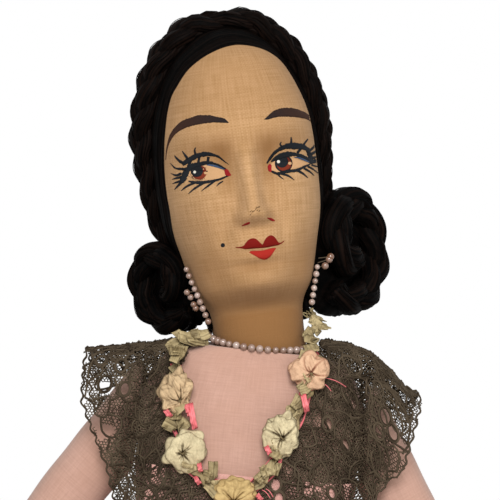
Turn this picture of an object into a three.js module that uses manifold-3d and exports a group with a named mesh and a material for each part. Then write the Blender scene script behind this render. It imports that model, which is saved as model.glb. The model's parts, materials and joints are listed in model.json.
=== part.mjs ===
// A cloth boudoir doll, seated: stuffed limbs stitched flat to a stuffed torso, a moulded linen face,
// braided hair with two coiled buns, bead jewellery, a lace collar with ribbon flowers, a short slip.
// Millimetres, +Z up, front towards -Y, origin on the seat plane under the middle of the torso.

import * as THREE from "three";
import { mergeVertices } from "three/addons/utils/BufferGeometryUtils.js";
import Module from "manifold-3d";

const wasm = await Module();
wasm.setup();

// Cloth and clearances
const coverWall = 1.2; // doubled cloth of a stuffed cover
const seamGap = 0.4; // clearance between pieces that lie against each other
const seamHalf = 2.6; // half thickness of a limb where it is stitched flat
const laceWall = 1.1; // lace with its cords
const slipWall = 1.1; // slip cloth with its hem

// Torso
const neckSeamHeight = 205; // seat plane to the neck seam
const seatHalfWidth = 40;
const seatHalfDepth = 24;
const hipHalfWidth = 52;
const hipHalfDepth = 37;
const waistHeight = 92;
const waistHalfWidth = 43;
const waistHalfDepth = 29;
const chestHeight = 143;
const chestHalfWidth = 48;
const chestHalfDepth = 30;
const shoulderDrop = 35; // neck seam down to the shoulder seams
const shoulderHalfWidth = 50.5; // torso middle to each flat shoulder seam
const shoulderHalfDepth = 26;
const shoulderTopDrop = 8; // neck seam down to where the shoulders round over
const shoulderTopHalfWidth = 42;
const shoulderTopHalfDepth = 22;
const neckHoleMargin = 1.6; // neck hole rim beyond the neck itself
const neckRimDrop = 4; // neck hole rim below the neck seam line

// Arms
const armLean = 34; // degrees from straight down
const upperArmLength = 92;
const upperArmHalfWidth = 15;
const upperArmHalfDepth = 13.5;
const elbowHalfWidth = 10.5;
const elbowTaper = 22; // length over which a limb flattens towards the elbow
const forearmLength = 98; // elbow seam to fingertips
const forearmHalfWidth = 12.5;
const wristHalfWidth = 7.5;
const wristFromTip = 38;
const palmHalfWidth = 10.5;
const palmHalfDepth = 5.2;
const fingerHalfWidth = 5.5;
const thumbLength = 20;
const thumbRadius = 3.4;

// Legs
const hipSpacing = 27; // torso middle to each leg
const thighLength = 165;
const thighHalfWidth = 22;
const thighHalfDepth = 21;
const hipSeamHalfWidth = 19;
const hipTaper = 34;
const kneeHalfWidth = 15;
const kneeTaper = 26;
const shinLength = 140; // knee seam to ankle
const calfHalfWidth = 17;
const calfHalfDepth = 16;
const ankleRadius = 9;
const shoeLength = 60;
const shoeHalfWidth = 11;
const shoePoint = 52; // degrees the toes point up from the leg
const heelHeight = 20;
const heelTopRadius = 6;
const heelTipRadius = 3.6;

// Head, measured up from the top of the neck
const neckHalfWidth = 21;
const neckHalfDepth = 20;
const neckLength = 12; // neck seam to the pivot of the head's lean
const neckPlug = 11; // neck tucked below the neck seam line
const headLean = 13; // degrees, towards the doll's right shoulder
const headTurn = 6; // degrees, towards the doll's left
const jawHeight = 15;
const jawHalfWidth = 26.4;
const mouthHeight = 31;
const mouthHalfWidth = 30.8;
const cheekHeight = 47;
const cheekHalfWidth = 34.6;
const eyeHeight = 67;
const eyeHalfWidth = 35.5;
const browHeight = 90;
const browHalfWidth = 34;
const foreheadHeight = 111;
const foreheadHalfWidth = 26;
const crownHeight = 126;
const faceDepth = 37; // head axis to the face at the eyes
const skullDepth = 44; // head axis to the back of the skull
const noseLength = 26;
const noseHalfWidth = 6;
const noseDepth = 7; // nose tip beyond the cheeks
const maskEdge = 2; // face cloth laps this far behind the head axis

// Hair
const hairWall = 2.2; // combed hair over the skull
const hairlineHalfWidth = 33; // face opening
const hairlineTop = 121; // hairline above the neck pivot
const napeHeight = 24;
const braidHalfThick = 5.2; // crown braid off the head
const braidHalfWide = 8.2; // crown braid along the head
const braidEndHeight = 46;
const braidBack = 8; // top of the braid behind the head axis
const braidSweep = 10; // its ends further back still
const leftBunRadius = 31;
const rightBunRadius = 22.8;
const leftBunRope = 7.6; // radius of the coiled rope
const rightBunRope = 6.2;
const leftBunLift = 25; // bun middle above the neck pivot
const rightBunLift = 18.5;
const rightBunSide = 0.3; // space from the head to the bun, less the bun's own size
const leftBunSide = 2.4;
const bunBack = 12; // bun middle behind the head axis
const bunFacing = 52; // degrees from facing forward to facing sideways
const bunRopeGap = 1.1; // rope to rope between turns
const bunStart = -2.3; // radians from facing outwards to the rope's outer end, low against the head
const bunHold = 0.5; // share of a turn at full size before the rope winds inwards

// Beads
const necklaceBead = 1.65; // bead radius
const necklacePitch = 3.6;
const beadThread = 0.55; // thread radius
const necklaceSlack = 1.3; // necklace off the neck
const earringBead = 1.35;
const rightEarringBeads = 9;
const leftEarringBeads = 6;
const rightEarringTop = 26; // top of the strand above the neck pivot
const leftEarringTop = 20;
const earringPitch = 3;
const earringForward = 13; // earring in front of the head axis

// Lace, garland and slip
const collarDrop = 67; // neck seam down to the front edge of the lace
const collarBackDrop = 60;
const backNeckDrop = 16;
const backNeckHalfWidth = 27;
const sleeveReach = 25; // lace beyond the shoulder seam
const sleeveHalfHeight = 27;
const sleeveHalfDepth = 20;
const sleeveFlare = 3; // depth gained at the hem
const sleeveCut = 24; // sleeve middle down to the hem on the arm
const sleeveRipple = 1.1; // height of the folds at the hem
const garlandRadius = 2.8;
const flowerRadius = 8.2;
const flowerHeight = 4.6;
const slipTopDrop = 57; // neck seam down to the slip's top edge
const slipBottom = 7; // seat plane to the slip's hem behind
const slipFrontRise = 16; // leg seams up to the slip's front hem
const slipLegStart = 17; // hip seam to the upper edge of a leg
const slipLegLength = 40;
const slipLegFlare = 5;
const slipEase = 0.9; // slip leg off the thigh

// Garland lines over the chest on the doll's own right and left, across and below the neck seam
const garlandRight = [[-31, 2], [-35, 14], [-34.7, 26], [-31.5, 40], [-26, 51], [-17, 60], [-8, 65]];
const garlandLeft = [[27, 0], [24, 10], [21.5, 22], [15.5, 38], [10.5, 50], [5, 60], [-1, 65]];
const flowerPlaces = [
  ["ribbon_flower_upper_right", -34.7, 24],
  ["ribbon_flower_lower_right", -27.2, 49],
  ["ribbon_flower_bottom", -4.2, 64.5],
  ["ribbon_flower_lower_left", 13, 37.5],
  ["ribbon_flower_upper_left", 22.6, 9],
];

const kneeHeight = calfHalfDepth + 3;
const ankleHeight = ankleRadius + 4;
const slipReach = 0.36; // share of the thigh under the slip leg, which has to clear the seat plane
const hipHeight = (thighHalfDepth + slipWall + 4 * seamGap - slipReach * kneeHeight) / (1 - slipReach);
const torsoSides = 20;
const limbSides = 10;
const headSides = 20;

const point = (x, y, z) => new THREE.Vector3(x, y, z);
const radians = (degrees) => THREE.MathUtils.degToRad(degrees);

// A ring of points: a rounded oval about a centre, with soft flutes when they are asked for
function oval(centre, across, deep, halfAcross, halfDeep, sides, power = 2, flutes = 0, ripple = 0) {
  const points = [];
  for (let i = 0; i < sides; i += 1) {
    const angle = (2 * Math.PI * i) / sides;
    const c = Math.cos(angle);
    const s = Math.sin(angle);
    const wave = ripple * Math.cos(flutes * angle);
    const u = Math.sign(c) * Math.abs(c) ** (2 / power) * (halfAcross + wave);
    const v = Math.sign(s) * Math.abs(s) ** (2 / power) * (halfDeep + wave);
    points.push(centre.clone().addScaledVector(across, u).addScaledVector(deep, v));
  }
  return points;
}

// A closed skin through rings, each end closed by a fan; a closed loop needs no ends
function skin(rings, loop = false) {
  const sides = rings[0].length;
  const flat = rings.flat();
  const faces = [];
  const count = loop ? rings.length : rings.length - 1;
  for (let r = 0; r < count; r += 1) {
    const next = (r + 1) % rings.length;
    for (let i = 0; i < sides; i += 1) {
      const j = (i + 1) % sides;
      faces.push(r * sides + i, r * sides + j, next * sides + j);
      faces.push(r * sides + i, next * sides + j, next * sides + i);
    }
  }
  if (!loop) {
    const last = (rings.length - 1) * sides;
    const middle = (ring) => ring.reduce((sum, p) => sum.add(p), point(0, 0, 0)).divideScalar(sides);
    flat.push(middle(rings[0]), middle(rings[rings.length - 1]));
    for (let i = 0; i < sides; i += 1) {
      const j = (i + 1) % sides;
      faces.push(flat.length - 2, j, i);
      faces.push(flat.length - 1, last + i, last + j);
    }
  }
  return solid(flat, faces);
}

// A solid from points and faces, turned to face outwards
function solid(flat, faces) {
  let volume = 0;
  for (let f = 0; f < faces.length; f += 3) {
    const [a, b, c] = [flat[faces[f]], flat[faces[f + 1]], flat[faces[f + 2]]];
    volume += a.dot(b.clone().cross(c));
  }
  const order = volume < 0 ? faces.slice().reverse() : faces;
  const mesh = new wasm.Mesh({
    numProp: 3,
    vertProperties: new Float32Array(flat.flatMap((p) => [p.x, p.y, p.z])),
    triVerts: new Uint32Array(order),
  });
  return new wasm.Manifold(mesh);
}

// A solid from a three.js geometry
function solidOf(geometry) {
  const bare = new THREE.BufferGeometry();
  bare.setAttribute("position", geometry.getAttribute("position"));
  if (geometry.index) {
    bare.setIndex(geometry.index);
  }
  const joined = mergeVertices(bare, 0.0005);
  const mesh = new wasm.Mesh({
    numProp: 3,
    vertProperties: new Float32Array(joined.getAttribute("position").array),
    triVerts: new Uint32Array(joined.index.array),
  });
  return new wasm.Manifold(mesh);
}

// A box between two corners
function box(low, high) {
  const size = high.clone().sub(low);
  const geometry = new THREE.BoxGeometry(size.x, size.y, size.z);
  const middle = low.clone().add(high).multiplyScalar(0.5);
  geometry.translate(middle.x, middle.y, middle.z);
  return solidOf(geometry);
}

// An outline in x and z carried through from one depth to another
function prism(outline, fromY, toY) {
  const shape = new THREE.Shape(outline.map(([x, z]) => new THREE.Vector2(x, z)));
  const geometry = new THREE.ExtrudeGeometry(shape, { depth: toY - fromY, bevelEnabled: false });
  geometry.rotateX(Math.PI / 2);
  geometry.translate(0, toY, 0);
  return solidOf(geometry);
}

const doll = new THREE.Group();
doll.name = "boudoir_doll";

const cloth = {
  pink: { color: 0xd2a892, roughness: 0.95 },
  slip: { color: 0xcf9b8a, roughness: 0.9 },
  linen: { color: 0xb58d64, roughness: 0.95 },
  wadding: { color: 0xe6dccb, roughness: 1 },
  hair: { color: 0x241a17, roughness: 0.6 },
  lace: { color: 0x4a3d33, roughness: 0.9 },
  leaf: { color: 0x8c7c5c, roughness: 0.7 },
  petal: { color: 0xcbb193, roughness: 0.7 },
  pearl: { color: 0xa9988c, roughness: 0.35 },
  shoe: { color: 0x3a2c25, roughness: 0.7 },
  wood: { color: 0x7a5a3c, roughness: 0.6 },
};

// Adds one named piece to a group
function add(group, name, piece, look) {
  const got = piece.getMesh();
  const geometry = new THREE.BufferGeometry();
  const places = new Float32Array((got.vertProperties.length / got.numProp) * 3);
  for (let i = 0; i < places.length / 3; i += 1) {
    for (let k = 0; k < 3; k += 1) {
      places[i * 3 + k] = got.vertProperties[i * got.numProp + k];
    }
  }
  geometry.setAttribute("position", new THREE.BufferAttribute(places, 3));
  geometry.setIndex(Array.from(got.triVerts));
  geometry.computeVertexNormals();
  const mesh = new THREE.Mesh(geometry, new THREE.MeshStandardMaterial(look));
  mesh.name = name;
  group.add(mesh);
}

const alongX = point(1, 0, 0);
const alongY = point(0, 1, 0);
const alongZ = point(0, 0, 1);

// Torso rings follow a smooth line through the seat, hips, waist, chest, shoulders and neck hole
const shoulderHeight = neckSeamHeight - shoulderDrop;
const neckRim = neckSeamHeight - neckRimDrop;
const leanShift = Math.sin(radians(headLean)) * neckPlug;
const neckHoleHalfWidth = neckHalfWidth + leanShift + neckHoleMargin;
const neckHoleHalfDepth = neckHalfDepth + neckHoleMargin;
const chestPower = 2.6; // squareness of the torso's section above the waist
const hipPower = 5; // and at the hips, flat in front for the leg seams
const torsoPower = (height) => {
  const share = THREE.MathUtils.smoothstep(height, hipHeight, waistHeight);
  return hipPower + (chestPower - hipPower) * share;
};
const torsoLine = new THREE.CatmullRomCurve3([
  point(seatHalfWidth, seatHalfDepth, 0),
  point(hipHalfWidth, hipHalfDepth, hipHeight),
  point(waistHalfWidth, waistHalfDepth, waistHeight),
  point(chestHalfWidth, chestHalfDepth, chestHeight),
  point(shoulderHalfWidth + 1.5, shoulderHalfDepth, shoulderHeight),
  point(shoulderTopHalfWidth, shoulderTopHalfDepth, neckSeamHeight - shoulderTopDrop),
  point(neckHoleHalfWidth + coverWall, neckHoleHalfDepth + coverWall, neckRim),
], false, "centripetal");
const torsoStations = torsoLine.getPoints(12);

// Torso half width and half depth at a height
function torsoAt(height) {
  for (let i = 1; i < torsoStations.length; i += 1) {
    const low = torsoStations[i - 1];
    const high = torsoStations[i];
    if (height <= high.z || i === torsoStations.length - 1) {
      const share = Math.min(Math.max((height - low.z) / (high.z - low.z), 0), 1);
      return low.clone().lerp(high, share);
    }
  }
  return torsoStations[0].clone();
}

// Depth of the chest in front of the torso's middle plane
function chestDepth(x, height) {
  const at = torsoAt(height);
  const share = Math.min(Math.abs(x) / at.x, 0.97);
  const power = torsoPower(height);
  return at.y * (1 - share ** power) ** (1 / power);
}

// The torso grown or shrunk, between two heights
function torsoForm(grow, fromHeight, toHeight, around = torsoSides) {
  const heights = torsoStations.map((s) => s.z).filter((z) => z > fromHeight + 1 && z < toHeight - 1);
  const rings = [fromHeight, ...heights, toHeight].map((z) => {
    const at = torsoAt(z);
    const lift = grow * THREE.MathUtils.smoothstep(z, shoulderHeight, neckRim);
    return oval(point(0, 0, z + lift), alongX, alongY, at.x + grow, at.y + grow, around, torsoPower(z));
  });
  return skin(rings);
}

// Everything between the two shoulder seams, less a margin
function betweenShoulders(margin) {
  const half = shoulderHalfWidth - margin;
  return box(point(-half, -200, -50), point(half, 200, 400));
}

const torsoOuter = torsoForm(0, 0, neckRim).intersect(betweenShoulders(0));
const torsoInner = torsoForm(-coverWall, coverWall, neckRim + 2 * coverWall).intersect(betweenShoulders(coverWall));
add(doll, "torso_cover", torsoOuter.subtract(torsoInner), cloth.pink);

// Dowel that stiffens the neck, from the head down into the torso stuffing
const dowelRadius = 5;
const dowelDrop = 60; // neck seam down to the foot of the dowel
const neckPivot = point(-Math.sin(radians(headLean)) * neckLength, 0, neckSeamHeight + neckLength);
const headGroup = new THREE.Group();
headGroup.name = "head";
headGroup.position.copy(neckPivot);
headGroup.rotation.set(0, -radians(headLean), radians(headTurn));
headGroup.updateMatrixWorld(true);
doll.add(headGroup);

// A rod down the torso's middle line, with its top in the neck
function rod(radius, foot, top) {
  const rings = [foot, top].map((z) => oval(point(0, 0, z), alongX, alongY, radius, radius, 12));
  return skin(rings);
}

const dowelTop = neckSeamHeight + neckLength;
const inset = coverWall + 2 * seamGap;
const neckTip = Math.sin(radians(headLean)) * neckHalfWidth; // how far the leaning neck's rim dips
const stuffingTop = neckSeamHeight - neckPlug - neckTip - 2;
const torsoStuffing = torsoForm(-inset, inset, stuffingTop, torsoSides / 2)
  .intersect(betweenShoulders(inset))
  .subtract(rod(dowelRadius + seamGap, neckSeamHeight - dowelDrop - seamGap, neckSeamHeight));
add(doll, "torso_stuffing", torsoStuffing, cloth.wadding);
add(doll, "neck_dowel", rod(dowelRadius, neckSeamHeight - dowelDrop, dowelTop), cloth.wood);

// A smooth line through stations of distance, half width and half depth
function stationLine(stations, count) {
  const places = stations.map((s) => point(s[0], s[1], s[2]));
  return new THREE.CatmullRomCurve3(places, false, "centripetal").getPoints(count);
}

// A sharp edge at a hinge line, before or after a flat stitched seam, so that the fold stays free
const foldRun = 3.2; // hinge line to the full seam thickness
const foldEdge = (distance, halfWidth) => point(distance, halfWidth, 0.4);

// The station on a sampled line at a distance
function stationAt(line, distance) {
  for (let i = 1; i < line.length; i += 1) {
    if (distance <= line[i].x || i === line.length - 1) {
      const share = (distance - line[i - 1].x) / (line[i].x - line[i - 1].x);
      return line[i - 1].clone().lerp(line[i], Math.min(Math.max(share, 0), 1)).setX(distance);
    }
  }
  return line[0].clone();
}

// A limb along a sampled line, grown or shrunk, from one distance to another
function limb(start, along, across, line, grow, from, to, sides = limbSides) {
  const deep = along.clone().cross(across).normalize();
  const between = line.filter((s) => s.x > from + 0.5 && s.x < to - 0.5);
  const stations = [stationAt(line, from), ...between, stationAt(line, to)];
  const rings = stations.map((s) => {
    const centre = start.clone().addScaledVector(along, s.x);
    return oval(centre, across, deep, Math.max(s.y + grow, 0.4), Math.max(s.z + grow, 0.4), sides, 2.2);
  });
  return skin(rings);
}

// A rounded bar along a hinge line, the middle of a flat stitched seam
function hingeBar(middle, line, halfLength, radius) {
  const up = line.clone().cross(alongY).lengthSq() > 0.1 ? line.clone().cross(alongY) : line.clone().cross(alongZ);
  const across = up.normalize();
  const deep = line.clone().cross(across).normalize();
  const ends = [-halfLength, halfLength].map((at) => middle.clone().addScaledVector(line, at));
  return skin(ends.map((end) => oval(end, across, deep, radius, radius, 12)));
}

const sides = [["right", -1], ["left", 1]];

// Arms lie in the plane of the torso and are cut off flat at the shoulder seam
const shoulderRoot = 40; // arm form carried into the torso before it is cut
const upperArmStations = [
  [-shoulderRoot, upperArmHalfWidth, upperArmHalfDepth],
  [0, upperArmHalfWidth, upperArmHalfDepth],
  [upperArmLength * 0.45, upperArmHalfWidth - 1, upperArmHalfDepth],
  [upperArmLength - elbowTaper, elbowHalfWidth + 2, upperArmHalfDepth - 2.5],
  [upperArmLength - foldRun, elbowHalfWidth, seamHalf],
];
const forearmStations = [
  [foldRun, elbowHalfWidth, seamHalf],
  [elbowTaper, forearmHalfWidth, forearmHalfWidth - 1],
  [forearmLength - wristFromTip, wristHalfWidth, wristHalfWidth - 0.8],
  [forearmLength - wristFromTip * 0.55, palmHalfWidth, palmHalfDepth],
  [forearmLength - 5, fingerHalfWidth + 1.5, palmHalfDepth - 1.2],
  [forearmLength, fingerHalfWidth * 0.5, palmHalfDepth * 0.4],
];
const upperArmLine = [...stationLine(upperArmStations, 8), foldEdge(upperArmLength, elbowHalfWidth)];
const forearmLine = [foldEdge(0, elbowHalfWidth), ...stationLine(forearmStations, 10)];
for (const [name, side] of sides) {
  const along = point(side * Math.sin(radians(armLean)), 0, -Math.cos(radians(armLean)));
  const across = point(Math.cos(radians(armLean)), 0, side * Math.sin(radians(armLean)));
  const shoulder = point(side * shoulderHalfWidth, 0, shoulderHeight);
  const beyond = (margin) => {
    const near = shoulderHalfWidth + seamGap + margin;
    return side > 0
      ? box(point(near, -200, -50), point(400, 200, 400))
      : box(point(-400, -200, -50), point(-near, 200, 400));
  };
  const upper = (grow, to) => limb(shoulder, along, across, upperArmLine, grow, -shoulderRoot, to);
  const elbow = shoulder.clone().addScaledVector(along, upperArmLength);
  const outer = upper(0, upperArmLength)
    .add(hingeBar(elbow, across, elbowHalfWidth - 1, seamHalf))
    .intersect(beyond(0));
  const hollow = upper(-coverWall, upperArmLength - foldRun - 1);
  const filling = upper(-inset, upperArmLength - 7);
  add(doll, `upper_arm_cover_${name}`, outer.subtract(hollow), cloth.pink);
  add(doll, `upper_arm_stuffing_${name}`, filling.intersect(beyond(1)), cloth.wadding);

  const thumbStart = elbow.clone().addScaledVector(along, forearmLength - wristFromTip * 0.8);
  const thumbAlong = along.clone().addScaledVector(across, -side * 0.75).normalize();
  const thumbLine = stationLine([
    [0, thumbRadius, thumbRadius],
    [thumbLength * 0.6, thumbRadius, thumbRadius],
    [thumbLength, thumbRadius * 0.5, thumbRadius * 0.5],
  ], 4);
  const thumb = limb(thumbStart, thumbAlong, alongY, thumbLine, 0, 0, thumbLength, 8);
  const lower = (grow, from, to) => limb(elbow, along, across, forearmLine, grow, from, to);
  const mitten = lower(0, 0, forearmLength)
    .add(thumb)
    .subtract(lower(-coverWall, foldRun - 1, forearmLength - 8))
    .subtract(hingeBar(elbow, across, elbowHalfWidth + 9, seamHalf + seamGap));
  add(doll, `forearm_cover_${name}`, mitten, cloth.pink);
  add(doll, `forearm_stuffing_${name}`, lower(-inset, 7, forearmLength - 12), cloth.wadding);
}

// Legs reach forward from the hips and rest on the seat plane
const thighStations = [
  [0, hipSeamHalfWidth, seamHalf],
  [hipTaper, thighHalfWidth, thighHalfDepth - 1.5],
  [thighLength * 0.45, thighHalfWidth, thighHalfDepth],
  [thighLength - kneeTaper, kneeHalfWidth + 3, calfHalfDepth - 1],
  [thighLength - foldRun, kneeHalfWidth, seamHalf],
];
const shinStations = [
  [foldRun, kneeHalfWidth, seamHalf],
  [kneeTaper, calfHalfWidth, calfHalfDepth],
  [shinLength * 0.45, calfHalfWidth - 0.5, calfHalfDepth - 1],
  [shinLength - 16, ankleRadius + 1, ankleRadius + 1],
  [shinLength, ankleRadius, ankleRadius],
];
const hipJointDepth = hipHalfDepth + seamHalf + seamGap;
const thighLine = [...stationLine(thighStations, 9), foldEdge(thighLength, kneeHalfWidth)];
const shinLine = [foldEdge(0, kneeHalfWidth), ...stationLine(shinStations, 8)];
for (const [name, side] of sides) {
  const hip = point(side * hipSpacing, -hipJointDepth, hipHeight);
  const thighRun = Math.sqrt(thighLength ** 2 - (hipHeight - kneeHeight) ** 2);
  const knee = point(side * hipSpacing, -hipJointDepth - thighRun, kneeHeight);
  const thighAlong = knee.clone().sub(hip).normalize();
  const thigh = (grow, from, to) => limb(hip, thighAlong, alongX, thighLine, grow, from, to);
  const slotHalf = hipSeamHalfWidth - 4;
  const slotLow = point(hip.x - slotHalf, -hipJointDepth - 4, hipHeight - 0.8);
  const slotHigh = point(hip.x + slotHalf, -hipJointDepth + 10, hipHeight + 0.8);
  const hollow = thigh(-coverWall, 2, thighLength - foldRun - 1).add(box(slotLow, slotHigh));
  const cover = thigh(0, 0, thighLength)
    .add(hingeBar(hip, alongX, hipSeamHalfWidth - 1, seamHalf))
    .add(hingeBar(knee, alongX, kneeHalfWidth - 1, seamHalf))
    .subtract(hollow);
  add(doll, `thigh_cover_${name}`, cover, cloth.pink);
  add(doll, `thigh_stuffing_${name}`, thigh(-inset, 12, thighLength - 10), cloth.wadding);

  const shinStart = knee.clone();
  const shinRun = Math.sqrt(shinLength ** 2 - (kneeHeight - ankleHeight) ** 2);
  const ankle = point(shinStart.x, shinStart.y - shinRun, ankleHeight);
  const shinAlong = ankle.clone().sub(shinStart).normalize();
  const shin = (grow, from, to) => limb(shinStart, shinAlong, alongX, shinLine, grow, from, to);
  const shinCover = shin(0, 0, shinLength)
    .subtract(shin(-coverWall, foldRun - 1, shinLength - 2 * coverWall))
    .subtract(hingeBar(knee, alongX, kneeHalfWidth + 9, seamHalf + seamGap));
  add(doll, `shin_cover_${name}`, shinCover, cloth.pink);
  add(doll, `shin_stuffing_${name}`, shin(-inset, 11, shinLength - 5), cloth.wadding);

  // Shoe: a stuffed felt foot with pointing toes, and a turned heel under it
  const toeAlong = point(0, -Math.cos(radians(shoePoint)), Math.sin(radians(shoePoint)));
  const footStart = ankle.clone().add(point(0, -seamGap - ankleRadius * 0.6, 1 - ankleRadius * 0.55));
  const shoeFrom = -ankleRadius * 0.55;
  const shoeLine = stationLine([
    [shoeFrom, shoeHalfWidth * 0.55, shoeHalfWidth * 0.5],
    [ankleRadius * 0.2, shoeHalfWidth * 0.9, shoeHalfWidth * 0.85],
    [shoeLength * 0.35, shoeHalfWidth, shoeHalfWidth * 0.8],
    [shoeLength * 0.7, shoeHalfWidth, shoeHalfWidth * 0.55],
    [shoeLength, shoeHalfWidth * 0.45, shoeHalfWidth * 0.25],
  ], 8);
  const shoe = (grow) => limb(footStart, toeAlong, alongX, shoeLine, grow, shoeFrom - grow, shoeLength + grow);
  const ankleClear = shin(seamGap, 0, shinLength + seamGap);
  add(doll, `shoe_${name}`, shoe(0).subtract(ankleClear), cloth.shoe);
  const heelRoot = footStart.clone().addScaledVector(toeAlong, ankleRadius * 0.35);
  const heelRings = [
    oval(heelRoot, alongX, alongZ, heelTopRadius, heelTopRadius, 12),
    oval(heelRoot.clone().add(point(0, -heelHeight * 0.75, 0)), alongX, alongZ, heelTipRadius, heelTipRadius, 12),
    oval(heelRoot.clone().add(point(0, -heelHeight - 6, 0)), alongX, alongZ, heelTipRadius, heelTipRadius, 12),
  ];
  add(doll, `heel_${name}`, skin(heelRings).subtract(shoe(seamGap)).subtract(ankleClear), cloth.wood);

  // Slip leg: a flared cloth tube round the top of the thigh, flat where it lies on the seat plane
  const legDeep = thighAlong.clone().cross(alongX).normalize();
  const legRing = (reach, grow) => {
    const share = Math.min(Math.max((reach - slipLegStart) / slipLegLength, 0), 1);
    const at = stationAt(thighLine, reach);
    const centre = hip.clone().addScaledVector(thighAlong, reach);
    const loose = slipEase + grow + share * slipLegFlare;
    const points = oval(centre, alongX, legDeep, at.y + loose, at.z + loose, 16, 2.2, 4, share * 0.8);
    const keep = seamGap + slipWall - grow;
    points.forEach((p) => {
      p.z = Math.max(p.z, keep);
      p.x = side * Math.max(side * p.x, keep);
    });
    return points;
  };
  const legMarks = thighLine.map((s) => s.x)
    .filter((x) => x > slipLegStart + 3 && x < slipLegStart + slipLegLength - 3);
  const slipTube = (grow, extra) => skin([slipLegStart - extra, ...legMarks, slipLegStart + slipLegLength + extra]
    .map((reach) => legRing(reach, grow)));
  add(doll, `slip_leg_${name}`, slipTube(slipWall, 0).subtract(slipTube(0, 1)), cloth.slip);
}

// Slip bodice: a cloth tube round the torso from the leg seams to the neckline
const slipTop = neckSeamHeight - slipTopDrop;
const frontHem = box(point(-200, -200, -50), point(200, -hipHalfDepth * 0.45, hipHeight + slipFrontRise));
const slipBodice = torsoForm(seamGap + slipWall, slipBottom, slipTop)
  .subtract(torsoForm(seamGap, slipBottom - 1, slipTop + 1))
  .subtract(frontHem);
add(doll, "slip_bodice", slipBodice, cloth.slip);

// Head form: rings from the neck plug to the crown, grown or shrunk
const neckFoot = -neckLength - neckPlug;
const headPower = 2.15;
const headLine = new THREE.CatmullRomCurve3([
  point(neckHalfWidth - 0.5, neckHalfDepth, neckFoot),
  point(neckHalfWidth, neckHalfDepth + 0.5, 2),
  point(jawHalfWidth, neckHalfDepth + 7, jawHeight),
  point(mouthHalfWidth, (faceDepth + skullDepth) * 0.42, mouthHeight),
  point(cheekHalfWidth, (faceDepth + skullDepth) * 0.475, cheekHeight),
  point(eyeHalfWidth, (faceDepth + skullDepth) * 0.5, eyeHeight),
  point(browHalfWidth, (faceDepth + skullDepth) * 0.485, browHeight),
  point(foreheadHalfWidth, (faceDepth + skullDepth) * 0.38, foreheadHeight),
  point(foreheadHalfWidth * 0.4, (faceDepth + skullDepth) * 0.16, crownHeight),
], false, "centripetal");
const headStations = headLine.getPoints(14);

// How far the middle of a head ring sits behind the neck's axis
function headSetback(height) {
  const full = (skullDepth - faceDepth) / 2;
  const share = THREE.MathUtils.smoothstep(height, jawHeight - 12, eyeHeight);
  const chin = THREE.MathUtils.smoothstep(height, 2, jawHeight) * 4.5;
  return full * share - chin * (1 - share);
}

// Head half width and half depth at a height
function headAt(height) {
  for (let i = 1; i < headStations.length; i += 1) {
    const low = headStations[i - 1];
    const high = headStations[i];
    if (height <= high.z || i === headStations.length - 1) {
      const share = Math.min(Math.max((height - low.z) / (high.z - low.z), 0), 1);
      return low.clone().lerp(high, share);
    }
  }
  return headStations[0].clone();
}

function headForm(grow, foot, count = headSides) {
  const stations = headStations.filter((s) => s.z > foot + 1);
  const start = headAt(foot);
  start.z = foot;
  const rings = [start, ...stations].map((s) => {
    const lift = grow * THREE.MathUtils.smoothstep(s.z, browHeight, crownHeight);
    const centre = point(0, headSetback(s.z), s.z + lift);
    return oval(centre, alongX, alongY, s.x + grow, s.y + grow, count, headPower);
  });
  return skin(rings);
}

// Nose: a tapering ridge from between the eyes to its tip
const noseBase = eyeHeight - noseLength;
const faceAt = (height) => headSetback(height) - headAt(height).y;
const nose = skin([
  oval(point(0, faceAt(eyeHeight) + 4, eyeHeight), alongX, alongY, noseHalfWidth * 0.5, 4, 8),
  oval(point(0, faceAt(eyeHeight - noseLength * 0.5) + 4, eyeHeight - noseLength * 0.5), alongX, alongY,
    noseHalfWidth * 0.75, 4 + noseDepth * 0.45, 8),
  oval(point(0, faceAt(noseBase + 5) + 4, noseBase + 5), alongX, alongY, noseHalfWidth, 4 + noseDepth, 8),
  oval(point(0, faceAt(noseBase) + 4, noseBase), alongX, alongY, noseHalfWidth * 0.9, 4 + noseDepth * 0.6, 8),
]);

const headOuter = headForm(0, neckFoot).add(nose);
const headShell = headOuter.subtract(headForm(-coverWall, neckFoot - 1));
const front = box(point(-200, -200, -100), point(200, maskEdge, 300));
const back = box(point(-200, maskEdge + seamGap, -100), point(200, 200, 300));
add(headGroup, "face_mask", headShell.intersect(front), cloth.linen);
add(headGroup, "head_back_cover", headShell.intersect(back), cloth.linen);

// The dowel's place seen from the leaning head, cleared out of the stuffing
const intoHead = headGroup.matrixWorld.clone().invert();
const dowelTopInHead = point(0, 0, dowelTop).applyMatrix4(intoHead);
const dowelFootInHead = point(0, 0, neckSeamHeight - dowelDrop).applyMatrix4(intoHead);
const dowelAlong = dowelTopInHead.clone().sub(dowelFootInHead).normalize();
const dowelAcross = alongX.clone().projectOnPlane(dowelAlong).normalize();
const dowelDeep = dowelAlong.clone().cross(dowelAcross);
const dowelClear = skin([
  oval(dowelFootInHead, dowelAcross, dowelDeep, dowelRadius + seamGap, dowelRadius + seamGap, 12),
  oval(dowelTopInHead.clone().addScaledVector(dowelAlong, seamGap), dowelAcross, dowelDeep,
    dowelRadius + seamGap, dowelRadius + seamGap, 12),
]);
add(headGroup, "head_stuffing", headForm(-inset, neckFoot + 2, headSides / 2).subtract(dowelClear), cloth.wadding);

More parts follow.
